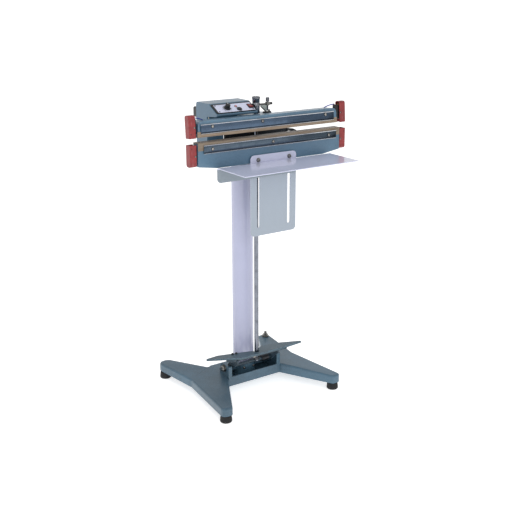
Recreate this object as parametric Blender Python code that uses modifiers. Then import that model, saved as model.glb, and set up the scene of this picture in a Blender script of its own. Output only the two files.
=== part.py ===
"""Foot-operated impulse heat sealer on a floor stand. Metres, +Z up, front towards -Y."""

import math

import bmesh
import bpy
from mathutils import Matrix, Vector

MM = 0.001
GAP = 0.3  # free space between two solids that touch, mm

# Driving dimensions, mm. Y is measured from the column axis, Z from the floor.
COLUMN_Y = 73.0
COLUMN_R = 34.5
TUBE_Y = -7.0  # the column tube stands a little in front of the reference axis
COLUMN_TOP = 800.0
JAW_FRONT = -174.4
JAW_HALF = 254.9
COVER_IN, COVER_OUT = 258.0, 280.0
SEAL_Z = 857.1
HINGE_Y, HINGE_Z = 50.0, 862.0
OPEN_ANGLE = 0.069
ROD_Y = -87.0
ROD_R = 7.0
SHAFT_Y, SHAFT_Z = -50.0, 83.0
BOX_HALF, BOX_FRONT, BOX_BACK = 102.0, -77.0, 42.0
FOOT_X, FOOT_FRONT, FOOT_REAR = 208.0, -228.0, 158.0
WING_TOP, WING_LOW = 52.0, 25.0
PLATE_FRONT, PLATE_BACK = -181.0, -178.5
SLOT_X = 56.0
CASE_LEFT, CASE_RIGHT = -156.5, -14.0
PANEL_TOP = (-75.0, 944.6)
PANEL_FOOT = (-115.0, 922.9)


def clear_scene():
    for obj in list(bpy.data.objects):
        bpy.data.objects.remove(obj, do_unlink=True)


def new_collection(name):
    made = bpy.data.collections.new(name)
    bpy.context.scene.collection.children.link(made)
    return made


clear_scene()
PARTS = new_collection("impulse_heat_sealer")
CUTTERS = new_collection("cutters")
CUTTERS.hide_render = True


def linear(value):
    value /= 255.0
    return value / 12.92 if value <= 0.04045 else ((value + 0.055) / 1.055) ** 2.4


def material(name, rgb, metallic=0.0, roughness=0.5):
    made = bpy.data.materials.new(name)
    made.use_nodes = True
    shader = made.node_tree.nodes["Principled BSDF"]
    shader.inputs["Base Color"].default_value = (*map(linear, rgb), 1.0)
    shader.inputs["Metallic"].default_value = metallic
    shader.inputs["Roughness"].default_value = roughness
    made.diffuse_color = (*map(linear, rgb), 1.0)
    return made


BLUE_GREY = material("blue_grey_paint", (92, 118, 138), roughness=0.45)
BASE_GREY = material("base_paint", (86, 109, 124), roughness=0.5)
LAVENDER = material("lavender_paint", (176, 178, 201), roughness=0.35)
PLATE_GREY = material("plate_paint", (162, 172, 183), roughness=0.4)
BLACK_STEEL = material("black_steel", (28, 31, 36), roughness=0.5)
CHROME = material("chrome", (200, 204, 210), metallic=1.0, roughness=0.15)
POLISHED = material("polished_strip", (150, 164, 180), metallic=1.0, roughness=0.2)
ZINC = material("zinc", (172, 172, 168), metallic=1.0, roughness=0.35)
SPRING_STEEL = material("spring_steel", (120, 122, 126), metallic=1.0, roughness=0.35)
NON_STICK = material("brown_non_stick_sheet", (142, 122, 102), roughness=0.6)
RIBBON = material("nickel_chrome_ribbon", (150, 145, 138), metallic=1.0, roughness=0.3)
RED_PLASTIC = material("red_plastic", (165, 70, 70), roughness=0.45)
BLACK_PLASTIC = material("black_plastic", (22, 23, 26), roughness=0.45)
RUBBER = material("rubber", (32, 34, 38), roughness=0.8)
PANEL_FILM = material("panel_film", (188, 192, 214), roughness=0.35)
LAMP_LENS = material("lamp_lens", (190, 150, 150), roughness=0.2)
BOARD_GREEN = material("circuit_board", (40, 96, 62), roughness=0.5)
CORE_STEEL = material("transformer_core", (92, 90, 92), metallic=0.6, roughness=0.5)
LEAD_BLUE = material("lead_insulation", (42, 66, 150), roughness=0.5)


def empty(name, at, parent=None, turn=(0.0, 0.0, 0.0)):
    """An empty at a place given in millimetres from the parent's."""
    made = bpy.data.objects.new(name, None)
    PARTS.objects.link(made)
    made.parent = parent
    made.location = Vector(at) * MM
    made.rotation_euler = turn
    return made


MACHINE = empty("machine", (0.0, COLUMN_Y, 0.0))
UPPER_JAW = empty("upper_jaw_axis", (0.0, HINGE_Y, HINGE_Z), MACHINE, (-OPEN_ANGLE, 0.0, 0.0))
PEDAL = empty("pedal_axis", (0.0, SHAFT_Y, SHAFT_Z), MACHINE)
ROD = empty("pull_rod_axis", (0.0, ROD_Y, 500.0), MACHINE)
TRAY = empty("tray_axis", (0.0, PLATE_FRONT, 757.0), MACHINE)
HOME = {
    MACHINE: Vector((0.0, 0.0, 0.0)),
    UPPER_JAW: Vector((0.0, HINGE_Y, HINGE_Z)),
    PEDAL: Vector((0.0, SHAFT_Y, SHAFT_Z)),
    ROD: Vector((0.0, ROD_Y, 500.0)),
    TRAY: Vector((0.0, PLATE_FRONT, 757.0)),
}


def finish(name, bm, finish_material, parent=None):
    """Turns a bmesh in millimetres from the column axis and floor into a part of its parent."""
    parent = parent or MACHINE
    bmesh.ops.transform(bm, matrix=Matrix.Translation(-HOME[parent]), verts=bm.verts)
    bmesh.ops.scale(bm, vec=(MM, MM, MM), verts=bm.verts)
    bmesh.ops.recalc_face_normals(bm, faces=bm.faces)
    mesh = bpy.data.meshes.new(name)
    bm.to_mesh(mesh)
    bm.free()
    obj = bpy.data.objects.new(name, mesh)
    if finish_material is None:
        CUTTERS.objects.link(obj)
        obj.hide_render = True
        obj.display_type = "WIRE"
    else:
        PARTS.objects.link(obj)
        mesh.materials.append(finish_material)
    obj.parent = parent
    return obj


def smooth(obj, angle=40.0):
    """Smooth shading with the edges over the angle kept sharp."""
    mesh = obj.data
    mesh.shade_smooth()
    mesh.set_sharp_from_angle(angle=math.radians(angle))
    return obj


def block(low, high):
    bm = bmesh.new()
    bmesh.ops.create_cube(bm, size=1.0)
    low, high = Vector(low), Vector(high)
    bmesh.ops.scale(bm, vec=high - low, verts=bm.verts)
    bmesh.ops.translate(bm, vec=(low + high) / 2.0, verts=bm.verts)
    return bm


AXES = {"X": (1, 2, 0), "Y": (0, 2, 1), "Z": (0, 1, 2)}


def to_bmesh(obj):
    """The evaluated shape of a helper object, welded, in millimetres; the helper is removed."""
    PARTS.objects.link(obj)
    bpy.context.view_layer.update()
    graph = bpy.context.evaluated_depsgraph_get()
    mesh = bpy.data.meshes.new_from_object(obj.evaluated_get(graph))
    bm = bmesh.new()
    bm.from_mesh(mesh)
    bmesh.ops.scale(bm, vec=(1.0 / MM,) * 3, verts=bm.verts)
    bmesh.ops.remove_doubles(bm, verts=bm.verts, dist=0.001)
    bpy.data.objects.remove(obj, do_unlink=True)
    bpy.data.meshes.remove(mesh)
    return bm


def line_curve(points, dimensions, cyclic):
    curve = bpy.data.curves.new("line", "CURVE")
    curve.dimensions = dimensions
    spline = curve.splines.new("POLY")
    spline.points.add(len(points) - 1)
    for point, place in zip(spline.points, points):
        point.co = (*(Vector(place) * MM).to_3d(), 1.0)
    spline.use_cyclic_u = cyclic
    return curve


def prism(outline, axis, start, end):
    """A flat outline drawn square to the axis and filling the space along it from start to end."""
    curve = line_curve(outline, "2D", True)
    curve.fill_mode = "BOTH"
    curve.extrude = (end - start) / 2.0 * MM
    bm = to_bmesh(bpy.data.objects.new("outline", curve))
    columns = [Vector((0.0, 0.0, 0.0)) for _ in range(3)]
    for column, row in zip(columns, AXES[axis]):
        column[row] = 1.0
    turn = Matrix(columns).transposed().to_4x4()
    middle = Vector((0.0, 0.0, 0.0))
    middle[AXES[axis][2]] = (start + end) / 2.0
    bmesh.ops.transform(bm, matrix=Matrix.Translation(middle) @ turn, verts=bm.verts)
    return bm


def rounded(corners, steps=3):
    """An outline from (a, b, radius) corners, each turned into an arc."""
    points = []
    count = len(corners)
    for i, (a, b, radius) in enumerate(corners):
        here = Vector((a, b))
        if radius <= 0.0:
            points.append((a, b))
            continue
        back = (Vector(corners[i - 1][:2]) - here).normalized()
        ahead = (Vector(corners[(i + 1) % count][:2]) - here).normalized()
        half = back.angle(ahead) / 2.0
        centre = here + (back + ahead).normalized() * radius / math.sin(half)
        reach = radius / math.tan(half)
        begin = here + back * reach - centre
        sweep = begin.angle_signed(here + ahead * reach - centre)
        for k in range(steps + 1):
            turn = -sweep * k / steps
            x = begin.x * math.cos(turn) - begin.y * math.sin(turn)
            y = begin.x * math.sin(turn) + begin.y * math.cos(turn)
            points.append((centre.x + x, centre.y + y))
    return points


def box_outline(a0, b0, a1, b1, radius=0.0, steps=3):
    return rounded([(a0, b0, radius), (a1, b0, radius), (a1, b1, radius), (a0, b1, radius)], steps)


def turned(profile, place, axis="Z", steps=24, ring=False):
    """A (radius, height) profile turned about an axis through a place; a ring profile closes."""
    mesh = bpy.data.meshes.new("profile")
    count = len(profile)
    edges = [(i, (i + 1) % count) for i in range(count if ring else count - 1)]
    mesh.from_pydata([(r * MM, 0.0, h * MM) for r, h in profile], edges, [])
    obj = bpy.data.objects.new("profile", mesh)
    screw = obj.modifiers.new("turn", "SCREW")
    screw.axis = "Z"
    screw.steps = screw.render_steps = steps
    screw.use_merge_vertices = True
    screw.merge_threshold = 0.00001
    bm = to_bmesh(obj)
    turn = {
        "Z": Matrix.Identity(4),
        "X": Matrix.Rotation(math.pi / 2.0, 4, "Y"),
        "-Y": Matrix.Rotation(math.pi / 2.0, 4, "X"),
    }[axis]
    bmesh.ops.transform(bm, matrix=Matrix.Translation(Vector(place)) @ turn, verts=bm.verts)
    return bm


def rod_shape(radius, start, end, place, axis="Z", steps=20):
    return turned([(0.0, start), (radius, start), (radius, end), (0.0, end)], place, axis, steps)


def boolean(obj, other, operation):
    made = obj.modifiers.new(operation.lower(), "BOOLEAN")
    made.object = other
    made.operation = operation
    made.solver = "EXACT"


def cut(obj, *shapes, parent=None):
    for i, shape in enumerate(shapes):
        boolean(obj, finish(f"{obj.name}_cut_{i}", shape, None, parent), "DIFFERENCE")
    return obj


def join(obj, *shapes, parent=None):
    for i, shape in enumerate(shapes):
        boolean(obj, finish(f"{obj.name}_join_{i}", shape, None, parent), "UNION")
    return obj


def bevel(obj, width, segments=2, angle=50.0):
    made = obj.modifiers.new("edge", "BEVEL")
    made.width = width * MM
    made.segments = segments
    made.limit_method = "ANGLE"
    made.angle_limit = math.radians(angle)
    made.use_clamp_overlap = True
    return obj


def sweep_path(points, radius):
    """A round wire along a line of points, with filled ends."""
    curve = line_curve(points, "3D", False)
    curve.bevel_depth = radius * MM
    curve.bevel_resolution = 2
    curve.use_fill_caps = True
    return to_bmesh(bpy.data.objects.new("wire", curve))


def coil(radius, start, end, turns, wire, place, axis="Z", per_turn=12):
    count = int(turns * per_turn)
    path = []
    for i in range(count + 1):
        turn = 2.0 * math.pi * i / per_turn
        height = start + (end - start) * i / count
        a, b = radius * math.cos(turn), radius * math.sin(turn)
        offset = Vector((a, b, height)) if axis == "Z" else Vector((height, a, b))
        path.append(Vector(place) + offset)
    return sweep_path(path, wire)


def hexagon(across_flats, centre=(0.0, 0.0), turn=0.0):
    reach = across_flats / math.sqrt(3.0)
    angles = [turn + math.pi / 3.0 * k for k in range(6)]
    return [(centre[0] + reach * math.cos(t), centre[1] + reach * math.sin(t)) for t in angles]


# Base: central box, wings, feet


def make_base_box():
    outer = block((-BOX_HALF, BOX_FRONT, WING_LOW + 2.0), (BOX_HALF, BOX_BACK, 98.0))
    box = finish("base_box", outer, BASE_GREY)
    side = [(BOX_FRONT - 10.0, 120.0), (BOX_FRONT - 10.0, 90.0), (BOX_FRONT + 8.0, 98.3)]
    side += [(-36.0, 98.3), (-26.0, 88.0), (-22.0, 58.0), (BOX_BACK + 10.0, 58.0)]
    side += [(BOX_BACK + 10.0, 120.0)]
    cut(
        box,
        block((-98.0, -73.0, 31.0), (98.0, 38.0, 54.5)),
        block((-98.0, -73.0, 33.0), (98.0, -24.0, 130.0)),
        rod_shape(39.2, 45.0, 140.0, (0.0, TUBE_Y, 0.0), steps=32),
        prism(side, "X", -BOX_HALF - 10.0, BOX_HALF + 10.0),
        block((-89.0, -90.0, 59.0), (89.0, -70.0, 130.0)),
        rod_shape(6.4, -BOX_HALF - 10.0, BOX_HALF + 10.0, (0.0, SHAFT_Y, SHAFT_Z), "X", 16),
    )
    return box


def wing_height(x):
    share = min(max((178.0 - abs(x)) / 70.0, 0.0), 1.0)
    return WING_TOP + 6.0 * share


def make_wing(name, side):
    inner = BOX_HALF + GAP
    corners = [
        (inner, -74.0, 0.0),
        (195.0, -247.0, 10.0),
        (230.0, -247.0, 14.0),
        (202.0, -8.0, 25.0),
        (227.0, 182.0, 20.0),
        (186.0, 182.0, 17.0),
        (112.0, BOX_BACK, 0.0),
        (inner, BOX_BACK, 0.0),
    ]
    bm = prism([(side * x, y) for x, y in rounded(corners)], "Z", WING_LOW, WING_TOP)
    bm.normal_update()
    flat = {f for f in bm.faces if abs(f.normal.z) > 0.5}
    under = [f for f in flat if f.calc_center_median().z < WING_TOP - 1.0]
    bmesh.ops.delete(bm, geom=under, context="FACES_ONLY")
    rim = [e for e in bm.edges if len(e.link_faces) == 2 and sum(f in flat for f in e.link_faces) == 1]
    rim = [e for e in rim if any(abs(v.co.x) > inner + 0.01 for v in e.verts)]
    for vert in bm.verts:
        if vert.co.z > WING_TOP - 1.0:
            vert.co.z = wing_height(vert.co.x)
    bmesh.ops.bevel(
        bm, geom=rim, offset=5.0, segments=2, affect="EDGES", profile=0.5, material=-1
    )
    wing = finish(name, bm, BASE_GREY)
    if sum(face.normal.z * face.area for face in wing.data.polygons) < 0.0:
        wing.data.flip_normals()
    shell = wing.modifiers.new("sheet", "SOLIDIFY")
    shell.thickness = 3.0 * MM
    shell.offset = -1.0
    shell.use_even_offset = True
    shell.thickness_clamp = 0.0
    return smooth(wing)


def make_foot(name, x, y):
    profile = [(0.0, 0.0), (17.5, 0.0), (19.0, 2.0), (17.0, 22.0), (10.0, 24.0), (10.0, 48.4)]
    profile += [(0.0, 48.4)]
    return smooth(finish(name, turned(profile, (x, y, 0.0), steps=20), RUBBER))


def make_base():
    make_base_box()
    make_wing("base_wing_left", -1.0)
    make_wing("base_wing_right", 1.0)
    for row, y in (("front", FOOT_FRONT), ("rear", FOOT_REAR)):
        for hand, x in (("left", -FOOT_X), ("right", FOOT_X)):
            make_foot(f"foot_{row}_{hand}", x, y)
    stud = prism(hexagon(19.0, (FOOT_X - 4.0, FOOT_REAR)), "Z", WING_TOP + 1.4, 62.0)
    top = rod_shape(5.0, 60.0, 73.0, (FOOT_X - 4.0, FOOT_REAR, 0.0), steps=16)
    join(finish("levelling_stud", stud, ZINC), top)
    ring = [(38.6, 31.3), (38.6, 73.0), (COLUMN_R + GAP, 73.0), (COLUMN_R + GAP, 31.3)]
    place = (0.0, TUBE_Y, 0.0)
    smooth(finish("column_socket", turned(ring, place, steps=32, ring=True), BASE_GREY))
    tube = [(COLUMN_R, 31.4), (COLUMN_R, COLUMN_TOP), (31.0, COLUMN_TOP), (31.0, 31.4)]
    smooth(finish("column", turned(tube, place, steps=40, ring=True), LAVENDER))


# Pedal


def make_pedal():
    corners = [(-69.0, -108.0, 8.0), (79.0, -111.0, 8.0), (171.0, -104.0, 2.0), (171.0, -98.0, 2.0)]
    corners += [(104.0, -71.0, 8.0), (36.0, -60.0, 8.0), (10.0, -75.0, 2.0), (-10.0, -79.0, 2.0)]
    corners += [(-72.0, -62.0, 8.0), (-125.0, -47.0, 8.0)]
    corners += [(-170.0, -50.0, 2.0), (-170.0, -56.0, 2.0)]
    slot = box_outline(-8.0, ROD_Y - 8.5, 8.0, ROD_Y + 23.0, 5.0)
    plate = finish("pedal_plate", prism(rounded(corners, 2), "Z", 127.0, 133.0), BASE_GREY, PEDAL)
    cut(plate, prism(slot, "Z", 120.0, 140.0), parent=PEDAL)
    bar = [(-92.0, -95.0, 3.0), (120.0, -98.0, 3.0), (110.0, -76.0, 3.0), (-118.0, -74.0, 3.0)]
    yoke = finish("pedal_yoke", prism(rounded(bar, 1), "Z", 118.0, 127.0 - GAP), BASE_GREY, PEDAL)
    arm = [(-98.0, 121.0), (-98.0, 110.0), (-62.0, 79.0), (-55.0, 72.0), (-45.0, 72.0)]
    arm += [(-39.0, 79.0), (-39.0, 88.0), (-60.0, 112.0), (-75.0, 126.0), (-90.0, 126.0)]
    join(yoke, prism(arm, "X", -82.0, -77.0), prism(arm, "X", 77.0, 82.0), parent=PEDAL)
    cut(
        yoke,
        prism(slot, "Z", 110.0, 140.0),
        rod_shape(6.4, -100.0, 100.0, (0.0, SHAFT_Y, SHAFT_Z), "X", 16),
        parent=PEDAL,
    )
    shaft = rod_shape(6.0, -117.0, 117.0, (0.0, SHAFT_Y, SHAFT_Z), "X", 16)
    smooth(finish("pedal_shaft", shaft, ZINC))
    for hand, side in (("left", -1.0), ("right", 1.0)):
        near, far = BOX_HALF + GAP, BOX_HALF + 10.0
        start, end = sorted((side * near, side * far))
        nut = finish(
            f"shaft_nut_{hand}", prism(hexagon(19.0, (SHAFT_Y, SHAFT_Z)), "X", start, end), ZINC
        )
        cut(nut, rod_shape(6.3, -130.0, 130.0, (0.0, SHAFT_Y, SHAFT_Z), "X", 16))
    spring = coil(9.3, 40.0, 70.0, 6, 1.3, (0.0, SHAFT_Y, SHAFT_Z), "X")
    smooth(finish("pedal_return_spring", spring, SPRING_STEEL))


# Pull rod and pressure spring


def make_rod():
    rod = rod_shape(ROD_R, 100.0, 948.0, (0.0, ROD_Y, 0.0), steps=20)
    smooth(finish("pull_rod", rod, CHROME, ROD))
    dome = [(0.0, 104.0), (10.5, 104.0), (10.5, 110.5), (9.0, 114.0), (0.0, 114.0)]
    nut = finish("rod_nut", turned(dome, (0.0, ROD_Y, 0.0), steps=6), ZINC, ROD)
    cut(nut, rod_shape(ROD_R + GAP, 90.0, 130.0, (0.0, ROD_Y, 0.0)), parent=ROD)
    wall = [(0.0, 948.0 + GAP), (ROD_R + GAP, 948.0 + GAP), (ROD_R + GAP, 933.0), (12.5, 933.0)]
    wall += [(12.5, 958.5), (11.0, 960.5), (0.0, 960.5)]
    barrel = finish("spring_barrel", turned(wall, (0.0, ROD_Y, 0.0), steps=24), CHROME, ROD)
    smooth(barrel)
    spring = coil(9.0, 909.5, 931.3, 5, 1.2, (0.0, ROD_Y, 0.0))
    smooth(finish("pressure_spring", spring, SPRING_STEEL))
    bar = [(0.0, 12.5 + GAP), (2.6, 12.5 + GAP), (2.6, 51.5), (3.6, 52.5), (3.6, 57.0), (2.4, 58.4)]
    bar += [(0.0, 58.4)]
    cross = finish("cross_bar", turned(bar, (0.0, ROD_Y, 936.0), "X", 12), ZINC, ROD)
    web = [(15.0, 934.5), (15.0, 932.0), (34.0, 914.0), (37.0, 914.0), (37.0, 934.5)]
    join(
        cross,
        block((37.0, ROD_Y - 5.0, 931.0), (47.0, ROD_Y + 5.0, 941.0)),
        prism(web, "Y", ROD_Y - 1.2, ROD_Y + 1.2),
        parent=ROD,
    )
    cut(cross, rod_shape(3.3, 900.0, 960.0, (42.0, ROD_Y, 0.0), steps=12), parent=ROD)
    screw = [(0.0, 915.0), (3.0, 915.0), (3.0, 942.5), (5.6, 942.5), (5.6, 955.0), (0.0, 955.0)]
    smooth(finish("adjusting_screw", turned(screw, (42.0, ROD_Y, 0.0), steps=12), CHROME, ROD))


# Head frame, hinge and jaws


def make_head_frame():
    deck = [(-160.0, -58.0), (-96.0, -58.0), (-96.0, -150.0 + GAP), (96.0, -150.0 + GAP)]
    deck += [(96.0, -40.0), (64.0, 72.0), (-64.0, 72.0), (-96.0, 0.0), (-160.0, 0.0)]
    frame = finish("head_frame", prism(deck, "Z", COLUMN_TOP + GAP, 812.0), BLACK_STEEL)
    cheek = rounded([(30.0, 806.0, 0.0), (70.0, 806.0, 0.0), (66.0, 880.0, 12.0), (34.0, 880.0, 12.0)])
    ring = [(40.5, 745.0), (40.5, 805.0), (COLUMN_R + GAP, 805.0), (COLUMN_R + GAP, 745.0)]
    join(
        frame,
        prism(cheek, "X", -61.0, -53.0),
        prism(cheek, "X", 53.0, 61.0),
        block((-98.0, -64.0, 806.0), (135.0, -58.0, 866.0)),
        turned(ring, (0.0, TUBE_Y, 0.0), steps=32, ring=True),
    )
    cut(
        frame,
        rod_shape(10.0, 790.0, 830.0, (0.0, ROD_Y, 0.0), steps=16),
        rod_shape(7.3, -70.0, 70.0, (0.0, HINGE_Y, HINGE_Z), "X", 16),
    )
    pin = rod_shape(7.0, -66.0, 66.0, (0.0, HINGE_Y, HINGE_Z), "X", 16)
    smooth(finish("hinge_shaft", pin, ZINC))


def make_arm():
    tee = [(-160.0, -128.0 + GAP), (165.0, -128.0 + GAP), (165.0, -118.0), (60.0, -110.0)]
    tee += [(60.0, 40.0), (-46.0, 40.0), (-46.0, -112.0), (-160.0, -118.0)]
    arm = finish("upper_jaw_arm", prism(tee, "Z", 890.0, 898.0), BLUE_GREY, UPPER_JAW)
    lug = rounded([(34.0, 848.0, 11.0), (66.0, 848.0, 11.0), (66.0, 896.0, 6.0), (20.0, 896.0, 0.0)])
    slot = box_outline(-8.0, ROD_Y - 10.0, 8.0, ROD_Y + 10.0, 7.0)
    join(arm, prism(lug, "X", -49.0, -39.0), prism(lug, "X", 39.0, 49.0), parent=UPPER_JAW)
    cut(
        arm,
        rod_shape(7.3, -70.0, 70.0, (0.0, HINGE_Y, HINGE_Z), "X", 16),
        prism(slot, "Z", 880.0, 910.0),
        parent=UPPER_JAW,
    )
    switch = block((31.0, ROD_Y - 9.0, 898.0 + GAP), (53.0, ROD_Y + 9.0, 903.0))
    bevel(finish("micro_switch", switch, BLACK_PLASTIC, UPPER_JAW), 1.0, 1)


def make_lower_jaw():
    low, end = 779.0, 788.6
    outline = [(-JAW_HALF, end), (-190.0, low), (190.0, low), (JAW_HALF, end)]
    outline += [(JAW_HALF, SEAL_Z - 1.9), (-JAW_HALF, SEAL_Z - 1.9)]
    beam = finish("lower_jaw_beam", prism(outline, "Y", JAW_FRONT, -150.0), BLUE_GREY)
    cut(beam, block((-251.5, -171.2, 700.0), (251.5, -153.0, 852.0)))
    bevel(beam, 1.5, 1)
    sheet("lower_ptfe_sheet", -256.0, 253.0, SEAL_Z, -1.0, 834.5, -150.0, None)
    strip = block((-238.0, -178.6, 825.0), (238.0, JAW_FRONT - 1.5, 850.0))
    bevel(finish("lower_clamp_strip", strip, POLISHED), 1.2, 2)
    ribbon = block((-257.0, -167.0, SEAL_Z - 1.6), (257.0, -157.0, SEAL_Z - 1.1))
    finish("lower_heating_ribbon", ribbon, RIBBON)


def sheet(name, left, right, face, way, edge, back, parent):
    """Thin sheet folded over a jaw: way is +1 where the jaw lies above the sealing face."""
    thick = 0.8
    front = JAW_FRONT - GAP
    inner = face + way * thick
    outline = [(front - thick, face), (back + GAP + thick, face), (back + GAP + thick, edge)]
    outline += [(back + GAP, edge), (back + GAP, inner), (front, inner)]
    outline += [(front, edge), (front - thick, edge)]
    return finish(name, prism(outline, "X", left, right), NON_STICK, parent)


def make_upper_jaw():
    face = SEAL_Z + GAP
    low, top = face + 1.9, 902.0
    shape = rounded([(-252.0, low, 0.0), (242.5, low, 0.0), (242.5, top, 14.0), (-252.0, top, 14.0)])
    beam = finish("upper_jaw_beam", prism(shape, "Y", JAW_FRONT, -128.0), BLUE_GREY, UPPER_JAW)
    bevel(beam, 2.5, 2, 60.0)
    cut(
        beam,
        block((-248.0, -171.0, low + 3.0), (238.5, -100.0, 886.0)),
        block((-300.0, -133.9, 800.0), (300.0, -100.0, low + 20.0)),
        parent=UPPER_JAW,
    )
    sheet("upper_ptfe_sheet", -256.0, 242.5, face, 1.0, 873.0, -134.0, UPPER_JAW)
    strip = block((-245.5, -178.6, 866.5), (228.5, JAW_FRONT - 1.5, 893.5))
    bevel(finish("upper_clamp_strip", strip, POLISHED, UPPER_JAW), 1.2, 2)
    ribbon = block((-257.0, -167.0, face + 1.1), (248.0, -157.0, face + 1.6))
    finish("upper_heating_ribbon", ribbon, RIBBON, UPPER_JAW)


def end_cover(name, side, front, back, low, high, open_top, parent):
    start, end = sorted((side * COVER_IN, side * COVER_OUT))
    inner, outer = sorted((side * (COVER_IN - 5.0), side * (COVER_OUT - 2.5)))
    corner_low, corner_high = (6.0, 0.0) if open_top else (0.0, 6.0)
    side_view = [(front, low), (back, low), (back, high), (front, high)]
    radii = [corner_low, corner_low, corner_high, corner_high]
    outline = rounded([(y, z, r) for (y, z), r in zip(side_view, radii)], 2)
    cover = finish(name, prism(outline, "X", start, end), RED_PLASTIC, parent)
    bottom, top = (low + 3.0, high + 9.0) if open_top else (low - 9.0, high - 3.0)
    bevel(cover, 2.0, 2)
    cut(cover, block((inner, front + 2.5, bottom), (outer, back - 2.5, top)), parent=parent)
    return smooth(cover, 35.0)


def make_ends():
    """End covers and the terminal blocks that hold them and the ribbons."""
    for hand, side in (("left", -1.0), ("right", 1.0)):
        end_cover(f"lower_end_cover_{hand}", side, -170.8, -148.4, 788.8, 851.9, True, MACHINE)
        end_cover(f"upper_end_cover_{hand}", side, -170.2, -148.4, 855.5, 920.5, False, UPPER_JAW)
        near, far = sorted((side * (JAW_HALF + GAP), side * 269.0))
        block_low = block((near, -166.0, 797.0), (far, -153.5, 846.0))
        bevel(finish(f"lower_terminal_{hand}", block_low, BLACK_PLASTIC), 1.5, 1)
        root = 242.5 if side > 0.0 else 252.0
        near, far = sorted((side * (root + GAP), side * 269.0))
        block_up = block((near, -165.0, 866.0), (far, -153.0, 910.0))
        made = finish(f"upper_terminal_{hand}", block_up, BLACK_PLASTIC, UPPER_JAW)
        bevel(made, 1.5, 1)
        path = []
        for i in range(13):
            t = math.pi * i / 12.0
            x = side * (root + 4.5 - 2.8 * i)
            path.append((x, -157.0 + i * 0.58, 912.0 - i * 0.68 + 1.6 * math.sin(t)))
        wire = finish(f"lead_{hand}", sweep_path(path, 1.6), LEAD_BLUE, UPPER_JAW)
        smooth(wire)


# Control box


def make_control_box():
    body = block((CASE_LEFT, -60.0, 812.0 + GAP), (-100.0, 2.0, 915.0))
    case = finish("control_box", body, BLUE_GREY)
    profile = rounded(
        [
            (2.0, 909.0, 0.0),
            (-60.0, 909.0, 0.0),
            (-114.0, 915.0, 3.0),
            (-119.0, 920.7, 3.0),
            (-69.0, 947.9, 8.0),
            (2.0, 947.9, 10.0),
        ]
    )
    join(case, prism(profile, "X", CASE_LEFT, CASE_RIGHT))
    cavity = [(12.0, 911.5), (-62.0, 911.5), (-100.0, 916.0), (-102.0, 919.0), (-69.0, 940.0)]
    cavity += [(-40.0, 945.0), (12.0, 945.0)]
    cut(
        case,
        block((CASE_LEFT + 2.5, -57.5, 815.0), (-102.5, 12.0, 925.0)),
        prism(cavity, "X", CASE_LEFT + 3.5, CASE_RIGHT - 2.5),
    )
    bevel(case, 2.0, 2, 60.0)
    smooth(case, 35.0)
    cover = [(CASE_LEFT + 2.0, 814.0), (-102.0, 814.0), (-102.0, 911.0), (CASE_RIGHT - 2.0, 911.0)]
    cover += [(CASE_RIGHT - 2.0, 937.0), (CASE_LEFT + 2.0, 937.0)]
    finish("control_box_cover", prism(cover, "Y", 2.0 + GAP, 4.0), BLACK_STEEL)
    gland = finish(
        "inlet_gland", prism(box_outline(-153.5, 899.0, -122.0, 930.0, 3.0, 1), "Y", 4.3, 24.0),
        BLACK_PLASTIC,
    )
    cut(gland, block((-146.0, 12.0, 905.0), (-130.0, 40.0, 924.0)))
    core = finish("transformer", block((-151.0, -50.0, 815.4), (-108.0, -6.0, 872.0)), CORE_STEEL)
    join(core, block((-145.0, -56.0, 827.0), (-114.0, 0.5, 860.0)))
    board = finish("circuit_board", block((-149.0, -52.0, 912.5), (-22.0, -8.0, 914.1)), BOARD_GREEN)
    join(board, block((-140.0, -45.0, 913.5), (-120.0, -20.0, 926.0)))
    join_block = block((-70.0, -40.0, 913.5), (-58.0, -20.0, 922.0))
    boolean(board, finish("circuit_board_relay", join_block, None), "UNION")


def panel_frame():
    """Origin, up-slope direction and outward normal of the sloping control face."""
    foot = Vector((0.0, *PANEL_FOOT))
    up = (Vector((0.0, *PANEL_TOP)) - foot).normalized()
    out = Vector((1.0, 0.0, 0.0)).cross(up)
    return foot, up, out


def on_panel(bm):
    """Takes a shape drawn with Y up the slope and Z off it to its place on the control face."""
    foot, up, out = panel_frame()
    turn = Matrix((Vector((1.0, 0.0, 0.0)), up, out)).transposed().to_4x4()
    bmesh.ops.transform(bm, matrix=Matrix.Translation(foot) @ turn, verts=bm.verts)
    return bm


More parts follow.
